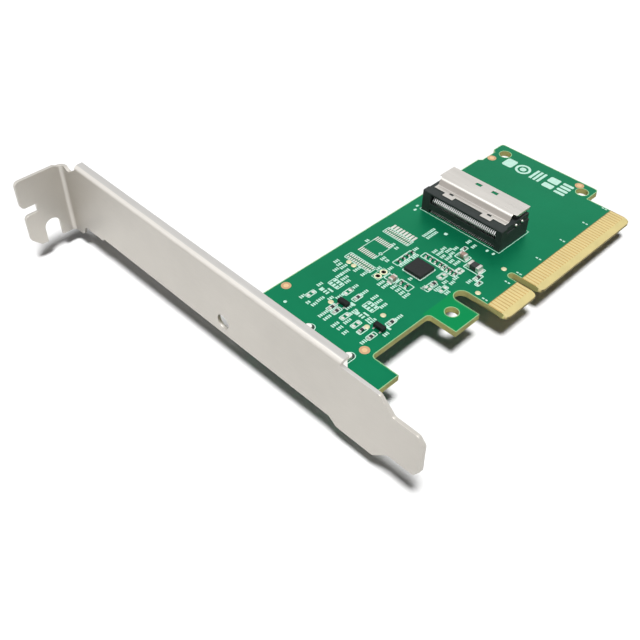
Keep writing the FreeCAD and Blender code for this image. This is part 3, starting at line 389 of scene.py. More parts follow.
class ChipSettings(bpy.types.PropertyGroup):
    """Finish of the surface-mount parts."""

    resin: colour_setting("Resin", "Moulded chip", 18, 20, 21)
    tan: colour_setting("Tan ceramic", "Bulk capacitors", 164, 138, 126)
    brown: colour_setting("Brown ceramic", "Small capacitors", 50, 43, 39)
    dark: colour_setting("Dark ceramic", "Resistors and the power part", 36, 38, 38)
    solder: colour_setting("Solder", "End caps, leads and fillets", 226, 224, 218)
    rounding: length_setting("Edge rounding", "Rounding of the chip edges", 0.05)


class StageSettings(bpy.types.PropertyGroup):
    """Camera, floor and light."""

    camera_place: bpy.props.FloatVectorProperty(
        name="Camera place", description="Place of the camera", subtype="TRANSLATION", unit="LENGTH",
        precision=6, default=(-0.140888, -0.070639, 0.133116),
    )
    heading: angle_setting("Heading", "Viewing direction, from +Y towards +X", 44.61)
    drop: angle_setting("Drop", "Angle of the view below the horizon", 43.693)
    roll: angle_setting("Roll", "Turn of the camera about its view", 0.373)
    lens: level_setting("Lens", "Focal length on a 36 mm sensor, in millimetres", 48.7246)
    floor: colour_setting("Floor", "Pale floor", 248, 248, 248)
    gap: length_setting("Gap", "Air between the card and the floor", 4.4)
    fill: level_setting("Fill", "Level of the light from all round", 0.035)
    key: level_setting("Key light", "Strength of the high distant lamp", 3.5)
    key_spread: angle_setting("Key spread", "Width of the high lamp as seen from the card", 14.0)
    front: level_setting("Front lamp", "Power of the soft lamp on the bracket side, in watts", 0.25)


# Node trees

class Graph:
    """Adds and joins the nodes of one tree."""

    def __init__(self, tree):
        self.tree = tree

    def add(self, kind, values=None, **settings):
        """A new node with its settings and the values of its inputs."""
        node = self.tree.nodes.new(kind)
        for name, value in settings.items():
            setattr(node, name, value)
        for name, value in (values or {}).items():
            node.inputs[name].default_value = value
        return node

    def join(self, *links):
        """Each link holds a node, its output, the next node and its input."""
        for node, output, target, entry in links:
            self.tree.links.new(node.outputs[output], target.inputs[entry])

    def ends(self, inputs, outputs):
        """The input and output nodes of a group with named sockets."""
        for direction, entries in (("INPUT", inputs), ("OUTPUT", outputs)):
            for name, kind in entries.items():
                self.tree.interface.new_socket(name, in_out=direction, socket_type="NodeSocket" + kind)
        return self.add("NodeGroupInput"), self.add("NodeGroupOutput")


def node_group(name, kind, build):
    """The node group of that name, built when it is first asked for."""
    if name not in bpy.data.node_groups:
        build(Graph(bpy.data.node_groups.new(name, kind)))
    return bpy.data.node_groups[name]


def add_noise(graph, inward, scale_name, levels, detail, roughness):
    """Noise on the piece's own coordinates, and the same noise stretched between two levels."""
    place = graph.add("ShaderNodeTexCoord")
    scale = graph.add("ShaderNodeVectorMath", operation="MULTIPLY")
    noise = graph.add("ShaderNodeTexNoise", {"Scale": 1.0, "Detail": detail, "Roughness": roughness})
    spread = graph.add("ShaderNodeMapRange", {"From Min": levels[0], "From Max": levels[1]})
    graph.join(
        (place, "Object", scale, 0), (inward, scale_name, scale, 1),
        (scale, "Vector", noise, "Vector"), (noise, "Fac", spread, "Value"),
    )
    return noise, spread


def build_patches(graph):
    """Colour that drifts darker over soft patches."""
    inward, outward = graph.ends(
        {"Colour": "Color", "Dark colour": "Color", "Patches": "Vector"}, {"Colour": "Color"},
    )
    spread = add_noise(graph, inward, "Patches", (0.3, 0.7), detail=5.0, roughness=0.6)[1]
    mix = graph.add("ShaderNodeMix", data_type="RGBA")
    graph.join(
        (spread, "Result", mix, "Factor"), (inward, "Dark colour", mix, "A"), (inward, "Colour", mix, "B"),
        (mix, "Result", outward, "Colour"),
    )


def build_grain(graph):
    """Fine grain, drawn out along a direction, as gloss and height."""
    inward, outward = graph.ends(
        {"Grains": "Vector", "Smooth": "Float", "Rough": "Float"}, {"Roughness": "Float", "Height": "Float"},
    )
    noise, spread = add_noise(graph, inward, "Grains", (0.25, 0.75), detail=3.0, roughness=0.5)
    graph.join(
        (inward, "Smooth", spread, "To Min"), (inward, "Rough", spread, "To Max"),
        (spread, "Result", outward, "Roughness"), (noise, "Fac", outward, "Height"),
    )


def each_axis(value):
    """One number for all three axes, or the three as they are."""
    return value if isinstance(value, tuple) else (value,) * 3


def surface(name, colour, metallic, gloss, dark=0.85, patches=90.0, grains=2500, relief=0.004, specular=0.5):
    """A finish: colour in soft patches, and a fine grain in its gloss and height.

    gloss holds the lowest and highest roughness, and relief the depth of the grain in millimetres.
    patches and grains hold their count in a metre, as one number or along each axis.
    """
    material = bpy.data.materials.new(name)
    material.use_nodes = True
    graph = Graph(material.node_tree)
    shader = material.node_tree.nodes["Principled BSDF"]
    shader.inputs["Metallic"].default_value = metallic
    shader.inputs["Specular IOR Level"].default_value = specular
    colours = graph.add("ShaderNodeGroup", {
        "Colour": colour, "Dark colour": (*(channel * dark for channel in colour[:3]), 1.0),
        "Patches": each_axis(patches),
    }, node_tree=node_group("colour_patches", "ShaderNodeTree", build_patches))
    grain = graph.add("ShaderNodeGroup", {
        "Grains": each_axis(grains), "Smooth": gloss[0], "Rough": gloss[1],
    }, node_tree=node_group("fine_grain", "ShaderNodeTree", build_grain))
    bump = graph.add("ShaderNodeBump", {"Strength": 0.6, "Distance": relief * MM})
    graph.join(
        (colours, "Colour", shader, "Base Color"), (grain, "Roughness", shader, "Roughness"),
        (grain, "Height", bump, "Height"), (bump, "Normal", shader, "Normal"),
    )
    return material


def build_height_shade(graph):
    """Colour that turns to an upper colour between two heights, for painted shade that turns to a highlight.
    """
    inward, outward = graph.ends(
        {"Colour": "Color", "Upper colour": "Color", "Low": "Float", "High": "Float"}, {"Colour": "Color"},
    )
    place = graph.add("ShaderNodeTexCoord")
    split = graph.add("ShaderNodeSeparateXYZ")
    rise = graph.add("ShaderNodeMapRange", interpolation_type="SMOOTHSTEP")
    mix = graph.add("ShaderNodeMix", data_type="RGBA")
    graph.join(
        (place, "Object", split, "Vector"), (split, "Z", rise, "Value"),
        (inward, "Low", rise, "From Min"), (inward, "High", rise, "From Max"),
        (rise, "Result", mix, "Factor"), (inward, "Colour", mix, "A"), (inward, "Upper colour", mix, "B"),
        (mix, "Result", outward, "Colour"),
    )


def shade_by_height(material, heights, colour):
    """Paints light on a finish: its colour turns to another between two heights, in millimetres."""
    graph = Graph(material.node_tree)
    shader = material.node_tree.nodes["Principled BSDF"]
    first = shader.inputs["Base Color"].links[0]
    shade = graph.add("ShaderNodeGroup", {
        "Upper colour": colour, "Low": heights[0] * MM, "High": heights[1] * MM,
    }, node_tree=node_group("height_shade", "ShaderNodeTree", build_height_shade))
    graph.join(
        (first.from_node, first.from_socket.name, shade, "Colour"), (shade, "Colour", shader, "Base Color"),
    )


def build_copies(graph):
    """Copies of one shape at given points."""
    inward, outward = graph.ends(
        {"Points": "Geometry", "Shape": "Object", "Finish": "Material"}, {"Copies": "Geometry"},
    )
    shape = graph.add("GeometryNodeObjectInfo", transform_space="ORIGINAL")
    copies = graph.add("GeometryNodeInstanceOnPoints")
    real = graph.add("GeometryNodeRealizeInstances")
    finish = graph.add("GeometryNodeSetMaterial")
    graph.join(
        (inward, "Points", copies, "Points"), (inward, "Shape", shape, "Object"),
        (shape, "Geometry", copies, "Instance"), (copies, "Instances", real, "Geometry"),
        (real, "Geometry", finish, "Geometry"), (inward, "Finish", finish, "Material"),
        (finish, "Geometry", outward, "Copies"),
    )


# Pieces

def linked_object(name, data):
    piece = bpy.data.objects.new(name, data)
    bpy.context.scene.collection.objects.link(piece)
    return piece


def mesh_from(bm, name):
    """Plain mesh in metres, from a shape drawn in millimetres."""
    bmesh.ops.recalc_face_normals(bm, faces=bm.faces[:])
    bm.transform(Matrix.Scale(MM, 4))
    return plain_mesh(bm, name)


def plain_mesh(bm, name):
    mesh = bpy.data.meshes.new(name)
    bm.to_mesh(mesh)
    bm.free()
    return mesh


def soften(mesh, degrees=SHARP_ANGLE):
    """Smooth shading, with edges sharper than the angle kept crisp."""
    mesh.shade_smooth()
    mesh.set_sharp_from_angle(angle=math.radians(degrees))


def settle(piece, nodes=()):
    """Lets a finished piece ride on the card."""
    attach(piece, BODY)
    if nodes:
        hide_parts(*nodes)
    return piece


def add_piece(name, mesh, materials, nodes=()):
    for material in materials:
        mesh.materials.append(material)
    return settle(linked_object(name, mesh), nodes)


def add_drawn(name, bm, finish, nodes=(), degrees=None):
    """A finished piece from a shape drawn in millimetres, softened where an angle is given."""
    mesh = mesh_from(bm, name)
    if degrees:
        soften(mesh, degrees)
    return add_piece(name, mesh, [finish], nodes)


def paint(piece, finish, chosen):
    """Gives the chosen faces of a piece a finish of their own."""
    number = len(piece.data.materials)
    piece.data.materials.append(finish)
    for face in piece.data.polygons:
        if chosen(face):
            face.material_index = number


def bake_modifier(piece, modifier):
    """Turns the evaluated piece into a plain mesh and takes the modifier away."""
    graph = bpy.context.evaluated_depsgraph_get()
    made = bpy.data.meshes.new_from_object(piece.evaluated_get(graph))
    piece.modifiers.remove(modifier)
    old = piece.data
    piece.data = made
    bpy.data.meshes.remove(old)


def copies_at(name, mesh, points, finish):
    """One shape at each of the points, as a plain mesh piece that does not ride yet."""
    tree = node_group("copies_at_points", "GeometryNodeTree", build_copies)
    places = bpy.data.meshes.new(name)
    places.from_pydata([(x * MM, y * MM, 0) for x, y in points], [], [])
    piece = linked_object(name, places)
    copies = piece.modifiers.new("copies", "NODES")
    copies.node_group = tree
    keys = {item.name: item.identifier for item in tree.interface.items_tree if item.in_out == "INPUT"}
    copies[keys["Shape"]] = linked_object(name + "_shape", mesh)
    copies[keys["Finish"]] = finish
    bake_modifier(piece, copies)
    bpy.data.meshes.remove(mesh)
    return piece


def turned_copies(name, profile, points, finish, steps=24, degrees=SHARP_ANGLE):
    """One turned shape at each of the points, as a finished piece."""
    bm = bmesh.new()
    add_lathe(bm, profile, 0, 0, steps)
    piece = copies_at(name, mesh_from(bm, name + "_shape"), points, finish)
    soften(piece.data, degrees)
    settle(piece)


def merged_copy(node, whole_faces=True):
    """The node's solid with its triangles joined, in metres."""
    bm = bmesh.new()
    bm.from_mesh(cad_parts[node].data)
    bmesh.ops.remove_doubles(bm, verts=bm.verts[:], dist=MERGE_DISTANCE * MM)
    if whole_faces:
        bmesh.ops.dissolve_limit(
            bm, angle_limit=math.radians(KEPT_ANGLE), verts=bm.verts[:], edges=bm.edges[:],
        )
    return bm


def rounded_copy(node, material, rounding, segments=2):
    """The node's solid with its edges rounded."""
    mesh = plain_mesh(merged_copy(node), node + "_dressed")
    mesh.shade_smooth()
    piece = add_piece(node + "_dressed", mesh, [material], [node])
    bevel = piece.modifiers.new("edge rounding", "BEVEL")
    bevel.width = rounding
    bevel.segments = segments
    bevel.limit_method = "ANGLE"
    bevel.angle_limit = math.radians(SHARP_ANGLE)
    bevel.use_clamp_overlap = True
    shading = piece.modifiers.new("even shading", "WEIGHTED_NORMAL")
    shading.mode = "FACE_AREA"
    shading.keep_sharp = True
    return piece


def islands(node):
    """Lowest and highest corners of each separate solid of a node, in millimetres."""
    bm = merged_copy(node)
    left = set(bm.verts)
    boxes = []
    while left:
        group = [left.pop()]
        for vertex in group:
            for edge in vertex.link_edges:
                other = edge.other_vert(vertex)
                if other in left:
                    left.remove(other)
                    group.append(other)
        corners = [vertex.co / MM for vertex in group]
        low = Vector([min(corner[axis] for corner in corners) for axis in range(3)])
        high = Vector([max(corner[axis] for corner in corners) for axis in range(3)])
        boxes.append((low, high))
    bm.free()
    return boxes


# Outlines and solids

def arc(x, y, radius, start, end, steps):
    """Points from one angle in degrees to another, both ends included."""
    points = []
    for step in range(steps + 1):
        angle = math.radians(start + (end - start) * step / steps)
        points.append((x + radius * math.cos(angle), y + radius * math.sin(angle)))
    return points


def circle(x, y, radius, steps=24):
    return arc(x, y, radius, 0, 360, steps)[:-1]


def rounded_box(x, y, length, width, radius, steps=3):
    """Corner points of a rounded rectangle, turning left."""
    points = []
    for side_x, side_y, start in ((1, 1, 0), (-1, 1, 90), (-1, -1, 180), (1, -1, 270)):
        middle_x = x + side_x * (length / 2 - radius)
        middle_y = y + side_y * (width / 2 - radius)
        points += arc(middle_x, middle_y, radius, start, start + 90, steps)
    return points


def add_loft(bm, loops, ring=False):
    """Closed body through loops of as many points; in a ring the last loop meets the first."""
    rows = [[bm.verts.new(point) for point in loop] for loop in loops]
    if ring:
        rows.append(rows[0])
    else:
        bm.faces.new(rows[0][::-1])
        bm.faces.new(rows[-1])
    for here, there in zip(rows, rows[1:]):
        for near in range(len(here)):
            far = (near + 1) % len(here)
            bm.faces.new((here[near], here[far], there[far], there[near]))


def add_plate(bm, outline, low, high):
    """Closed thin plate with the given outline."""
    add_loft(bm, [[(x, y, height) for x, y in outline] for height in (low, high)])


def add_frame(bm, outer, inner, low, high):
    """Closed flat ring between two outlines with as many points."""
    loops = ((outer, low), (outer, high), (inner, high), (inner, low))
    add_loft(bm, [[(x, y, height) for x, y in outline] for outline, height in loops], ring=True)


def add_band(bm, outer, inner, high):
    """Row of short plates on the board, between two curves with as many points."""
    for here, there, near, far in zip(outer, outer[1:], inner, inner[1:]):
        add_plate(bm, [here, there, far, near], 0, high)


def add_lathe(bm, profile, x, y, steps=24):
    """Turned shape about an upright axis; the profile starts and ends on the axis."""
    rings = []
    for radius, height in profile:
        outline = circle(x, y, radius, steps) if radius else [(x, y)]
        rings.append([bm.verts.new((*point, height)) for point in outline])
    for here, there in zip(rings, rings[1:]):
        for near in range(steps):
            far = (near + 1) % steps
            corners = [here[near % len(here)], here[far % len(here)]]
            corners += [there[far % len(there)], there[near % len(there)]]
            corners = list(dict.fromkeys(corners))
            if len(corners) > 2:
                bm.faces.new(corners)


def strip_outline(path, thickness, bend, steps=3):
    """Outline of a bent strip: the path's corners are rounded and the strip has even thickness."""
    points = [Vector(point) for point in path]
    smooth = [points[0]]
    for before, corner, after in zip(points, points[1:], points[2:]):
        start = corner + (before - corner).normalized() * bend
        end = corner + (after - corner).normalized() * bend
        for step in range(steps + 1):
            share = step / steps
            smooth.append(start * (1 - share) ** 2 + corner * 2 * share * (1 - share) + end * share ** 2)
    smooth.append(points[-1])
    left = []
    right = []
    for number, point in enumerate(smooth):
        ahead = smooth[min(number + 1, len(smooth) - 1)] - smooth[max(number - 1, 0)]
        ahead.normalize()
        side = Vector((-ahead.y, ahead.x)) * (thickness / 2)
        left.append(point + side)
        right.append(point - side)
    return left + right[::-1]


# Board

class DressBoard(bpy.types.Operator):
    """Board with green lacquer, pale routed rims and a bare tongue"""

    bl_idname = "adapter_card.dress_board"
    bl_label = "Board"

    def execute(self, context):
        settings = context.scene.card_board
        bm = merged_copy("circuit_board", whole_faces=False)
        near_tongue = [
            face for face in bm.faces if max(corner.co.x for corner in face.verts) > TONGUE_START * MM
        ]
        self.cut_across(bm, near_tongue, MASK_EDGE)
        beside_tab = [face for face in bm.faces if min(corner.co.x for corner in face.verts) < TAB_END * MM]
        self.cut_across(bm, beside_tab, TAB_TOP)
        rims = self.inset_rims(bm, settings.rim_width)
        self.sort_faces(bm, rims)
        mesh = plain_mesh(bm, "circuit_board_dressed")
        soften(mesh, degrees=30)
        add_piece("circuit_board_dressed", mesh, self.finishes(settings), ["circuit_board"])

        fingers = bmesh.new()
        sides = ["edge_contacts_component_side", "edge_contacts_solder_side"]
        for low, high in islands(sides[0]) + islands(sides[1]):
            middle = (low + high) / 2
            size = high - low
            add_plate(fingers, rounded_box(middle.x, middle.y, size.x, size.y, CONTACT_CORNER), low.z, high.z)
        gold = surface("hard_gold", settings.gold, 0.9, (0.26, 0.42), dark=0.88, patches=160.0,
                       grains=(6000, 500, 6000), relief=0.002)
        add_drawn("edge_contacts_dressed", fingers, gold, sides)
        return {"FINISHED"}

    def cut_across(self, bm, faces, y):
        """Cuts faces of the board along a line across it."""
        edges = {edge for face in faces for edge in face.edges}
        corners = {corner for face in faces for corner in face.verts}
        bmesh.ops.bisect_plane(
            bm, geom=[*corners, *edges, *faces], dist=CUT_DISTANCE * MM,
            plane_co=(0, y * MM, 0), plane_no=(0, 1, 0),
        )

    def on_tongue(self, place):
        return place.y < MASK_EDGE and place.x > TONGUE_START

    def inset_rims(self, bm, width):
        """Draws a rim inside the lacquered faces of both sides."""
        rims = set()
        for side in (1, -1):
            lacquered = []
            for face in bm.faces:
                flat = face.normal.z * side > FLAT
                if flat and not self.on_tongue(face.calc_center_median() / MM):
                    lacquered.append(face)
            made = bmesh.ops.inset_region(
                bm, faces=lacquered, thickness=width, use_even_offset=True, use_boundary=True,
            )
            rims.update(made["faces"])
        return rims

    def sort_faces(self, bm, rims):
        """Gives each face the number of its finish."""
        mask, rim, sawn, bare, lacquer_edge_shadow, bevel, thin_mask = range(7)
        for face in bm.faces:
            place = face.calc_center_median() / MM
            tongue = self.on_tongue(place)
            slant = abs(face.normal.z)
            if tongue and (SLOPING < slant < FLAT or face.normal.y < FACING_SLOT):
                face.material_index = bevel
            elif slant < SLOPING:
                face.material_index = sawn
            elif tongue:
                face.material_index = bare
            elif face in rims and place.y < MASK_EDGE + EDGE_SHADOW_DEPTH and place.x > EDGE_SHADOW_START:
                face.material_index = lacquer_edge_shadow
            elif face in rims:
                face.material_index = rim
            elif TAB_START < place.x < TAB_END and place.y < TAB_TOP:
                face.material_index = thin_mask
            else:
                face.material_index = mask

    def finishes(self, settings):
        """Finishes in the order of their numbers."""
        lacquer = {"gloss": (0.34, 0.46), "dark": 0.86, "patches": 38.0, "grains": 1400, "relief": 0.0025,
                   "specular": 0.1}
        return [
            surface("solder_mask_lacquer", settings.mask, 0.6, **lacquer),
            surface("routed_rim", settings.rim, 0.0, (0.5, 0.7), dark=0.82, patches=300.0, grains=3000,
                    relief=0.01),
            surface("sawn_laminate", settings.laminate, 0.0, (0.6, 0.85), dark=0.72, patches=260.0,
                    grains=(900, 900, 9000), relief=0.02),
            surface("bare_laminate", settings.bare, 0.0, (0.5, 0.7), patches=300.0, relief=0.01),
            # Dark band along the lacquer's edge above the contacts: painted shadow of its step.
            surface("mask_border", tone(40, 104, 62), 0.0, (0.4, 0.6), dark=0.8, patches=300.0),
            surface("bevelled_laminate", settings.bevel, 0.0, (0.5, 0.7), dark=0.86, patches=260.0,
                    grains=(2500, 900, 2500), relief=0.01),
            surface("lacquer_on_laminate", settings.thin_mask, 0.1, **lacquer),
        ]


class DrawLands(bpy.types.Operator):
    """Alignment marks, test points, header rings and unfitted lands"""

    bl_idname = "adapter_card.draw_lands"
    bl_label = "Lands"

    def execute(self, context):
        settings = context.scene.card_board
        copper = surface("bare_copper", settings.copper, 0.75, (0.35, 0.5), dark=0.86, patches=500.0)
        pale_copper = surface("polished_copper", tone(240, 204, 156), 0.8, (0.25, 0.4), dark=0.9)
        cream = surface("cream_tin", tone(226, 218, 180), 0.2, (0.4, 0.55), dark=0.86, patches=800.0)
        turned_copies("alignment_windows", WINDOW_PROFILE, ALIGNMENT_MARKS, copper, steps=32)
        turned_copies("alignment_dots", DOT_PROFILE, ALIGNMENT_MARKS, pale_copper, degrees=50)
        turned_copies("test_points", DOME_PROFILE, TEST_POINTS, cream, degrees=60)

        rings = bmesh.new()
        barrels = bmesh.new()
        for x, y in HEADER_HOLES:
            self.add_washers(rings, x, y, *HEADER_RING)
            self.add_washers(barrels, x, y, *HEADER_COLLAR)
            outer, inner = HEADER_BARREL
            add_frame(barrels, circle(x, y, outer), circle(x, y, inner), BOARD_UNDERSIDE, 0)
        pale_ring = surface("pale_ring", tone(246, 246, 206), 0.2, (0.4, 0.55), dark=0.88, patches=800.0)
        add_drawn("header_rings", rings, pale_ring, degrees=SHARP_ANGLE)
        # Barrels and collars are painted near black: painted shade inside the holes.
        hole_shade = surface("tarnished_barrel", tone(38, 28, 18), 0.4, (0.5, 0.7), dark=0.7, patches=900.0)
        add_drawn("header_barrels", barrels, hole_shade, degrees=SHARP_ANGLE)

        tin = surface("tinned_land", settings.tin, 0.85, (0.3, 0.5), dark=0.8, patches=700.0, grains=4000,
                      relief=0.006)
        pads = bmesh.new()
        for x, y in UNFITTED_PARTS:
            for side in (-UNFITTED_SPREAD, UNFITTED_SPREAD):
                add_plate(pads, rounded_box(x + side, y, *UNFITTED_SIZE), 0, LAND_HEIGHT)
        add_drawn("unfitted_lands", pads, tin)
        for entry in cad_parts["controller_ic_pads"].material_slots:
            entry.material = tin

        combs = bmesh.new()
        for x, first, pitch, count, length, width in LAND_COMBS:
            for number in range(count):
                outline = rounded_box(x, first + pitch * number, length, width, COMB_CORNER, 2)
                add_plate(combs, outline, 0, COMB_HEIGHT)
        add_drawn("bare_solder_pads_dressed", combs, tin, ["bare_solder_pads"])
        return {"FINISHED"}

    def add_washers(self, bm, x, y, outer, inner, thickness):
        """Flat rings on both sides of the board."""
        for low, high in ((0, thickness), (BOARD_UNDERSIDE - thickness, BOARD_UNDERSIDE)):
            add_frame(bm, circle(x, y, outer), circle(x, y, inner), low, high)


class DrawPrint(bpy.types.Operator):
    """Pale print: part frames, plain blocks, bars, rings and the receptacle's outline"""

    bl_idname = "adapter_card.draw_print"
    bl_label = "Print"

    def execute(self, context):
        self.bm = bmesh.new()
        for x, y in RESISTOR_FRAMES + UNFITTED_PARTS:
            self.frame(x, y, *SMALL_FRAME)
        for entry in (*PART_FRAMES, CHIP_FRAME):
            self.frame(*entry)
        outer, inner = HEADER_FRAME
        add_frame(self.bm, rounded_box(*outer), rounded_box(*inner), 0, PRINT_HEIGHT)

        for entry in BLOCK_ROWS:
            self.block_row(*entry)
        for entry in PRINT_BLOCKS:
            self.block(*entry)
        for x in EDGE_DASHES:
            for y in DASH_LINES:
                self.block(x, y, *DASH_SIZE)
        for x, y in SIX_BLOCKS:
            for side in (-SIX_SPREAD, SIX_SPREAD):
                for step in (-1, 0, 1):
                    self.block(x + side, y + step * SIX_PITCH, *SIX_SIZE)
        for x, y in BAR_GROUPS:
            middle = Vector((x, y))
            for start, end in GROUP_BARS:
                self.bar(middle + Vector(start), middle + Vector(end), GROUP_LINE)
            for step in (-1, 0, 1):
                self.block(x + GROUP_SHIFT, y + step * GROUP_PITCH, *GROUP_SIZE)

        left, right, low, high, hook, line = RECEPTACLE_LINE
        self.bar((left, low), (left, high), line)
        for y, end in ((low, low + hook), (high, high - hook)):
            self.bar((left, y), (right, y), line)
            self.bar((right, y), (right, end), line)
        for entry in PRINT_BARS:
            self.bar(*entry)
        for x, y, outer, inner, steps in PRINT_RINGS:
            add_frame(self.bm, circle(x, y, outer, steps), circle(x, y, inner, steps), 0, PRINT_HEIGHT)
        for entry in PRINT_DISCS:
            add_plate(self.bm, circle(*entry), 0, PRINT_HEIGHT)

        # Dark crescents inside the rings: painted shadow at the lug noses' edges.
        nose_shadows = bmesh.new()
        for y in LUG_LINES:
            ring = []
            for radius in NOSE_RINGS:
                bow = arc(NOSE_MIDDLE, y, radius, -90, 90, steps=12)
                ring.append([(NOSE_START, y - radius), *bow, (NOSE_START, y + radius)])
            add_band(self.bm, *ring, PRINT_HEIGHT)
            crescent = [arc(x, y, radius, -CRESCENT_REACH, CRESCENT_REACH, 12) for x, radius in CRESCENT_ARCS]
            add_band(nose_shadows, *crescent, CRESCENT_HEIGHT)

        ink = surface("pale_print", context.scene.card_board.ink, 0.0, (0.6, 0.8), dark=0.86, patches=900.0,
                      grains=5000, specular=0.2)
        add_drawn("pale_print", self.bm, ink)
        nose_shadow = surface("bare_dark_laminate", tone(34, 48, 38), 0.0, (0.5, 0.65), dark=0.8, patches=900.0)
        add_drawn("lug_clearances", nose_shadows, nose_shadow)
        return {"FINISHED"}

    def frame(self, x, y, length, width, line=FRAME_LINE):
        """Thin rounded frame."""
        outer = rounded_box(x, y, length, width, FRAME_CORNER)
        inner = rounded_box(x, y, length - 2 * line, width - 2 * line, FRAME_CORNER - line * CORNER_LOSS)
        add_frame(self.bm, outer, inner, 0, PRINT_HEIGHT)

    def block(self, x, y, length, width, corner, steps=3):
        add_plate(self.bm, rounded_box(x, y, length, width, corner, steps), 0, PRINT_HEIGHT)

    def block_row(self, x, y, length):
        """Plain blocks of changing size, from x on over the given length."""
        end = x + length - ROW_SPARE
        number = 0
        while x < end:
            width = ROW_WIDTHS[number % len(ROW_WIDTHS)]
            tall = ROW_HEIGHTS[number % len(ROW_HEIGHTS)]
            self.block(x + width / 2, y, width, tall, ROW_CORNER, 2)
            x += width + ROW_GAP
            number += 1

    def bar(self, start, end, width):
        """Straight stroke between two points."""
        start = Vector(start)
        end = Vector(end)
        along = (end - start).normalized()
        side = Vector((-along.y, along.x)) * (width / 2)
        add_plate(self.bm, [start - side, end - side, end + side, start + side], 0, PRINT_HEIGHT)


# Bracket

class DressBracket(bpy.types.Operator):
    """Folded bracket, its lugs and two cross-recess screws"""

    bl_idname = "adapter_card.dress_bracket"
    bl_label = "Bracket"

    def execute(self, context):
        settings = context.scene.card_bracket
        satin = {"metallic": 0.92, "gloss": (0.4, 0.52), "patches": 45.0, "grains": (5200, 260, 5200),
                 "relief": 0.0025}
        plate = surface("satin_plating", settings.plate, dark=0.93, **satin)
        # The bend under the flange gets painted light: shade low down that turns to a painted highlight near
        # the flange.
        painted_bend_light = surface("bright_bend", tone(192, 186, 177), dark=0.95, **satin)
        shade_by_height(painted_bend_light, BEND_PAINTED_RAMP, tone(214, 210, 204))
        # Up-facing faces of the flange get a paler, cooler copy of the plating: painted light on its top.
        flange = surface("flange_plating", tone(198, 196, 193), dark=0.93, **satin)
        # Up-facing faces of the lug noses are painted near white, a painted highlight on their tops.
        nose_top_highlight = surface("worn_plating", tone(248, 246, 242), 0.6, (0.3, 0.45), dark=0.9, patches=500.0,
                       relief=0.003)
        sheet = rounded_copy("bracket", plate, settings.rounding, segments=3)
        paint(sheet, painted_bend_light, lambda face: self.above_bend(face) and face.normal.z > BEND_FACING)
        paint(sheet, flange, lambda face: self.above_bend(face) and face.normal.z > FLANGE_FACING)
        lugs = rounded_copy("mounting_lugs", plate, settings.rounding * 0.8)
        paint(lugs, nose_top_highlight, lambda face: face.normal.z > SLOPING and face.center.x > NOSES_BEGIN * MM)

        plating = surface("screw_plating", settings.screw, 0.95, (0.25, 0.4), patches=300.0)
        screws = copies_at("bracket_screws_dressed", self.screw_mesh(),
                           [(SCREW_MIDDLE, y) for y in LUG_LINES], plating)
        soften(screws.data, degrees=40)
        settle(screws, ["bracket_screws"])
        return {"FINISHED"}

    def above_bend(self, face):
        return face.center.z > BEND_LOW * MM and face.center.y < BEND_END * MM

    def screw_mesh(self):
        """Upright screw with its head under the board and a cross recess cut into it."""
        low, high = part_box("bracket_screws")
        tip = high.z / MM
        bottom = low.z / MM
        bed = BOARD_UNDERSIDE
        profile = [(0, tip), (TIP_RADIUS, tip), (THREAD_RADIUS, tip - TIP_BEVEL)]
        for turn in range(THREAD_TURNS):
            drop = turn * THREAD_PITCH
            profile += [(THREAD_RADIUS, tip - CREST_DROP - drop), (THREAD_ROOT, tip - ROOT_DROP - drop)]
        profile = [point for point in profile if point[1] > bed + THREAD_STOP]
        profile.append((THREAD_RADIUS, bed))
        profile += [(radius, bed + height) for radius, height in HEAD_SIDE]
        profile += [(radius, bottom + height) for radius, height in HEAD_CROWN]
        blank = bmesh.new()
        add_lathe(blank, profile, 0, 0, steps=32)
        screw = linked_object("screw_blank", mesh_from(blank, "screw"))
        cross = bmesh.new()
        for length, width in ((RECESS_LENGTH, RECESS_WIDTH), (RECESS_WIDTH, RECESS_LENGTH)):
            add_loft(cross, [
                [(x * length * along, y * width * across, bottom + height) for x, y in SQUARE]
                for along, across, height in RECESS_LOOPS
            ])
        cutter = linked_object("recess", mesh_from(cross, "recess"))
        cut = screw.modifiers.new("recess", "BOOLEAN")
        cut.operation = "DIFFERENCE"
        cut.solver = "EXACT"
        cut.use_self = True
        cut.object = cutter
        bake_modifier(screw, cut)
        mesh = screw.data
        for helper in (cutter, screw):
            bpy.data.objects.remove(helper)
        return mesh


# Cable receptacle

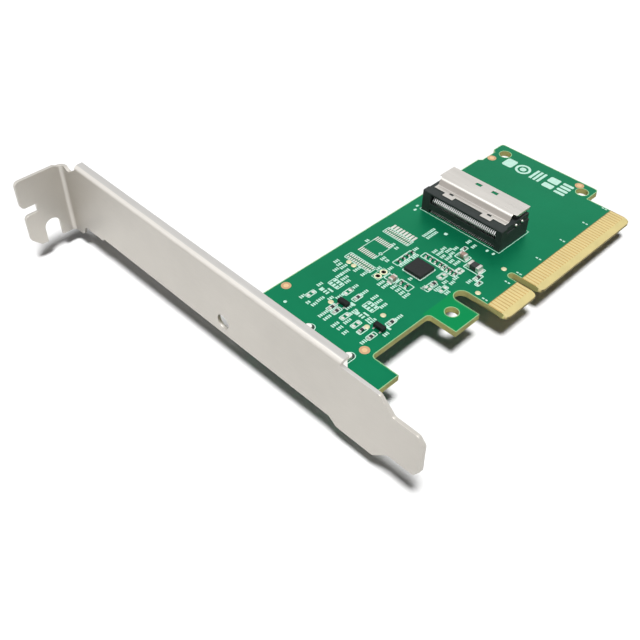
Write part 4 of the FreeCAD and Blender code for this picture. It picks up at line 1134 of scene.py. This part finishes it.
class DressReceptacle(bpy.types.Operator):
    """Black housing, stamped shell and two combs of bent contacts"""

    bl_idname = "adapter_card.dress_receptacle"
    bl_label = "Receptacle"

    def execute(self, context):
        settings = context.scene.card_receptacle
        moulding = surface("matt_moulding", settings.moulding, 0.0, (0.42, 0.6), dark=0.7, patches=500.0,
                           grains=3500, relief=0.006, specular=0.2)
        rounded_copy("connector_housing", moulding, settings.rounding)
        rolled = {"patches": (420, 40, 420), "grains": (2600, 120, 2600), "relief": 0.002}
        shell = surface("stamped_shell", settings.shell, 0.92, (0.26, 0.4), dark=0.84, **rolled)
        # The shell's slope is painted darker as shade, turning to a painted highlight near its top.
        slope_shade = surface("stamped_slope", tone(166, 160, 154), 0.75, (0.35, 0.5), dark=0.9, **rolled)
        shade_by_height(slope_shade, SLOPE_PAINTED_RAMP, tone(240, 237, 231))
        cover = rounded_copy("connector_shell", shell, SHELL_ROUNDING * MM)
        paint(cover, slope_shade, self.gets_painted_slope_shade)
        self.dress_contacts(settings)

        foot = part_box("connector_upper_contacts")[0].xy / MM
        fillets = bmesh.new()
        x, y = foot + Vector(FOOT_OFFSET)
        for number in range(CONTACT_COUNT):
            add_lathe(fillets, FOOT_PROFILE, x, y + CONTACT_PITCH * number, steps=10)
        foot_solder = surface("foot_solder", tone(250, 250, 247), 0.1, (0.35, 0.5), dark=0.92, patches=900.0)
        add_drawn("contact_fillets", fillets, foot_solder, degrees=60)

        # A dark sheet under the contact feet: painted shade round them.
        foot_shade = bmesh.new()
        add_plate(foot_shade, rounded_box(*(foot + Vector(FOOT_SHADE_OFFSET)), *FOOT_SHADE_SIZE), 0, FOOT_SHADE_HEIGHT)
        dark_lacquer = surface("dark_lacquer", tone(14, 24, 20), 0.0, (0.5, 0.65), dark=0.8, patches=900.0)
        add_drawn("contact_dam", foot_shade, dark_lacquer)

        nubs = bmesh.new()
        for x, y in NUB_PLACES:
            add_lathe(nubs, NUB_PROFILE, x, y, steps=14)
        add_drawn("shell_nubs", nubs, shell, degrees=60)
        return {"FINISHED"}

    def gets_painted_slope_shade(self, face):
        low, high = SLOPE_RISE
        return low < face.normal.z < high and face.normal.x < SLOPE_SIDE

    def dress_contacts(self, settings):
        """Two rows of bent, tinned strips."""
        strip = surface("tinned_contact", settings.strip, 0.9, (0.26, 0.4), patches=600.0,
                        grains=(5000, 5000, 600), relief=0.003)
        for node, corners in CONTACT_BENDS.items():
            low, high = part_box(node)
            path = [(high.x / MM, corners[0][1]), *corners, (low.x / MM, FOOT_HEIGHT)]
            outline = strip_outline(path, STRIP_THICKNESS, STRIP_BEND)
            start = low.y / MM + STRIP_INSET
            bm = bmesh.new()
            add_loft(bm, [[(x, y, z) for x, z in outline] for y in (start, start + STRIP_WIDTH)])
            places = [(0, CONTACT_PITCH * number) for number in range(CONTACT_COUNT)]
            row = copies_at(node + "_dressed", mesh_from(bm, node), places, strip)
            soften(row.data, degrees=35)
            settle(row, [node])


# Surface-mount parts

class DressChips(bpy.types.Operator):
    """Chips with rounded edges and solder fillets at their ends"""

    bl_idname = "adapter_card.dress_chips"
    bl_label = "Chips"

    def execute(self, context):
        settings = context.scene.card_chips
        body = {"metallic": 0.0, "patches": 900.0}
        resin = surface("moulded_resin", settings.resin, 0.0, (0.45, 0.62), dark=0.75, patches=420.0,
                        grains=2600, relief=0.008, specular=0.3)
        black = surface("transistor_resin", tone(15, 17, 17), 0.0, (0.4, 0.55), dark=0.7, patches=700.0,
                        grains=2600, relief=0.008, specular=0.2)
        tan = surface("tan_body", settings.tan, gloss=(0.4, 0.55), dark=0.82, relief=0.008, **body)
        brown = surface("brown_body", settings.brown, gloss=(0.4, 0.55), dark=0.8, relief=0.008, **body)
        dark = surface("dark_body", settings.dark, gloss=(0.35, 0.5), dark=0.75, relief=0.006, **body)
        solder = surface("reflowed_solder", settings.solder, 0.9, (0.25, 0.48), dark=0.8, patches=900.0,
                         grains=3000, relief=0.006)
        edge = settings.rounding
        rounded_copy("controller_ic", resin, edge * 1.6)
        rounded_copy("transistor_bodies", black, edge * 2)
        rounded_copy("transistor_leads", solder, edge * 0.5)

        fillets = bmesh.new()
        for bodies, caps, finish, slot, body_share, cap_share in (
            ("capacitor_bodies", "capacitor_end_caps", tan, "tan_ceramic", 1.4, 1.6),
            ("inductor_body", "inductor_end_caps", dark, "dark_ceramic", 1.6, 1.6),
            ("resistor_bodies", "resistor_end_caps", dark, "dark_ceramic", 1.0, 1.0),
            ("small_capacitor_bodies", "small_capacitor_end_caps", brown, "brown_ceramic", 1.0, 1.0),
        ):
            rounded_copy(bodies, finish, edge * body_share)
            rounded_copy(caps, solder, edge * cap_share)
            middles = [(low + high) / 2 for low, high in islands(bodies)]
            for low, high in islands(caps):
                self.add_fillet(fillets, low, high, middles)
        add_drawn("solder_fillets", fillets, solder, degrees=50)

        dimple = bmesh.new()
        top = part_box("controller_ic")[1].z / MM
        profile = [(radius, top + height) for radius, height in DIMPLE_PROFILE]
        add_lathe(dimple, profile, *DIMPLE_PLACE, steps=20)
        lighter = (*(channel * DIMPLE_SHADE for channel in settings.resin[:3]), 1.0)
        shine = surface("dimple_gloss", lighter, 0.0, (0.25, 0.35), dark=0.8)
        add_drawn("first_land_dimple", dimple, shine, degrees=SHARP_ANGLE)
        return {"FINISHED"}

    def add_fillet(self, bm, low, high, middles):
        """Solder that slopes from the outer end of a cap down to the board."""
        centre = (low + high) / 2
        away = centre - min(middles, key=lambda middle: (middle - centre).length)
        axis = 0 if abs(away.x) > abs(away.y) else 1
        across = 1 - axis
        sign = 1 if away[axis] > 0 else -1
        end = high[axis] if sign > 0 else low[axis]
        rise = (high.z - low.z) * FILLET_RISE
        run = max(FILLET_LEAST, rise * FILLET_RUN)
        half = (high[across] - low[across]) / 2 + FILLET_SPARE
        full = half * FILLET_TAPER
        hollow = [(run * along, rise * up) for along, up in FILLET_CURVE]
        curve = [
            (-FILLET_OVERLAP, 0), (run, 0), (run, FILLET_FOOT), *hollow, (0.0, rise), (-FILLET_OVERLAP, rise),
        ]
        loops = []
        for slide, shrink in ((-half, FILLET_TAPER), (-full, 1.0), (full, 1.0), (half, FILLET_TAPER)):
            loop = []
            for outward, up in curve:
                spot = [0.0, 0.0, up * shrink]
                spot[axis] = end + sign * outward * (shrink if outward > 0 else 1.0)
                spot[across] = centre[across] + slide
                loop.append(spot)
            loops.append(loop)
        add_loft(bm, loops)


# Stage

class SetStage(bpy.types.Operator):
    """Camera, pale floor, light from all round and two lamps"""

    bl_idname = "adapter_card.set_stage"
    bl_label = "Stage"

    def execute(self, context):
        scene = context.scene
        settings = scene.card_stage
        scene.view_settings.view_transform = "Standard"
        self.add_camera(scene, settings)
        self.add_floor(settings)

        world = bpy.data.worlds.new("studio")
        scene.world = world
        world.use_nodes = True
        graph = Graph(world.node_tree)
        background = world.node_tree.nodes["Background"]
        background.inputs["Color"].default_value = WHITE
        level = graph.add("ShaderNodeMapRange", {"To Min": settings.fill, "To Max": 1.0})
        graph.join(
            (self.seen_directly(graph), "Value", level, "Value"), (level, "Result", background, "Strength"),
        )

        sun = bpy.data.lights.new("key_light", "SUN")
        sun.energy = settings.key
        sun.angle = settings.key_spread
        self.place_lamp(sun, SUN_PLACE)
        soft = bpy.data.lights.new("front_lamp", "AREA")
        soft.shape = "DISK"
        soft.size = FRONT_SIZE
        soft.energy = settings.front
        self.place_lamp(soft, FRONT_PLACE)
        return {"FINISHED"}

    def add_camera(self, scene, settings):
        heading = settings.heading
        drop = settings.drop
        ahead = Vector((math.sin(heading), math.cos(heading), 0))
        forward = ahead * math.cos(drop) - Vector((0, 0, math.sin(drop)))
        level = Vector((math.cos(heading), -math.sin(heading), 0))
        right = level * math.cos(settings.roll) + level.cross(forward) * math.sin(settings.roll)
        turn = Matrix((right, right.cross(forward), -forward)).transposed().to_4x4()
        lens = bpy.data.cameras.new("photo_camera")
        lens.sensor_width = SENSOR_WIDTH
        lens.lens = settings.lens
        lens.clip_start = CLIP_START
        lens.dof.use_dof = False
        camera = linked_object("photo_camera", lens)
        camera.matrix_world = Matrix.Translation(settings.camera_place) @ turn
        scene.camera = camera

    def add_floor(self, settings):
        """Floor along the plane on which the card rests, a gap below it."""
        ear, shoulder, far_end = (Vector(point) * MM for point in REST_POINTS)
        upright = (far_end - shoulder).cross(ear - shoulder)
        corners = []
        for side_x, side_y in SQUARE:
            x = side_x * FLOOR_REACH
            y = side_y * FLOOR_REACH
            fall = (upright.x * (x - ear.x) + upright.y * (y - ear.y)) / upright.z
            corners.append((x, y, ear.z - settings.gap - fall))
        mesh = bpy.data.meshes.new("floor")
        mesh.from_pydata(corners, [], [range(len(corners))])
        mesh.materials.append(self.floor_finish(settings))
        floor = linked_object("floor", mesh)

    def seen_directly(self, graph):
        """One for rays from the camera, from gloss or through glass."""
        path = graph.add("ShaderNodeLightPath")
        first = graph.add("ShaderNodeMath", operation="MAXIMUM")
        second = graph.add("ShaderNodeMath", operation="MAXIMUM")
        graph.join(
            (path, "Is Camera Ray", first, 0), (path, "Is Glossy Ray", first, 1),
            (first, "Value", second, 0), (path, "Is Transmission Ray", second, 1),
        )
        return second

    def floor_finish(self, settings):
        """Matt floor: pale and lifted a little where it is seen, and dark to stray light."""
        material = bpy.data.materials.new("pale_floor")
        material.use_nodes = True
        graph = Graph(material.node_tree)
        shader = material.node_tree.nodes["Principled BSDF"]
        shader.inputs["Roughness"].default_value = FLOOR_ROUGHNESS
        shader.inputs["Specular IOR Level"].default_value = 0.0
        shown = self.seen_directly(graph)
        colour = graph.add("ShaderNodeMix", data_type="RGBA")
        colour.inputs["A"].default_value = STRAY_FLOOR
        colour.inputs["B"].default_value = settings.floor
        glow = graph.add("ShaderNodeEmission")
        lift = graph.add("ShaderNodeMath", {1: FLOOR_LIFT}, operation="MULTIPLY")
        both = graph.add("ShaderNodeAddShader")
        graph.join(
            (shown, "Value", colour, "Factor"), (colour, "Result", shader, "Base Color"),
            (shown, "Value", lift, 0), (lift, "Value", glow, "Strength"),
            (shader, "BSDF", both, 0), (glow, "Emission", both, 1),
            (both, "Shader", material.node_tree.nodes["Material Output"], "Surface"),
        )
        return material

    def place_lamp(self, light, place):
        """Hangs a lamp at a place and turns it to the card."""
        lamp = linked_object(light.name, light)
        lamp.location = place
        lamp.rotation_euler = (-Vector(place)).to_track_quat("-Z", "Y").to_euler()


class AdapterCardPanel(bpy.types.Panel):
    """Lists the pieces of the card and their settings"""

    bl_idname = "VIEW3D_PT_adapter_card"
    bl_label = "Adapter card"
    bl_space_type = "VIEW_3D"
    bl_region_type = "UI"
    bl_category = "Adapter card"

    def draw(self, context):
        for operator in OPERATORS:
            self.layout.operator(operator.bl_idname)
        for name in SETTINGS:
            box = self.layout.box()
            group = getattr(context.scene, name)
            for entry in group.bl_rna.properties:
                if entry.identifier not in ("rna_type", "name"):
                    box.prop(group, entry.identifier)


OPERATORS = (SetStage, DressBoard, DrawLands, DrawPrint, DressBracket, DressReceptacle, DressChips)
SETTINGS = {
    "card_board": BoardSettings,
    "card_bracket": BracketSettings,
    "card_receptacle": ReceptacleSettings,
    "card_chips": ChipSettings,
    "card_stage": StageSettings,
}
CLASSES = (*SETTINGS.values(), *OPERATORS, AdapterCardPanel)


def register():
    for entry in CLASSES:
        bpy.utils.register_class(entry)
    for name, group in SETTINGS.items():
        setattr(bpy.types.Scene, name, bpy.props.PointerProperty(type=group))


def unregister():
    for name in SETTINGS:
        delattr(bpy.types.Scene, name)
    for entry in reversed(CLASSES):
        bpy.utils.unregister_class(entry)


def main():
    register()
    bpy.ops.adapter_card.set_stage()
    bpy.ops.adapter_card.dress_board()
    bpy.ops.adapter_card.draw_lands()
    bpy.ops.adapter_card.draw_print()
    bpy.ops.adapter_card.dress_bracket()
    bpy.ops.adapter_card.dress_receptacle()
    bpy.ops.adapter_card.dress_chips()


if __name__ == "__main__":
    main()
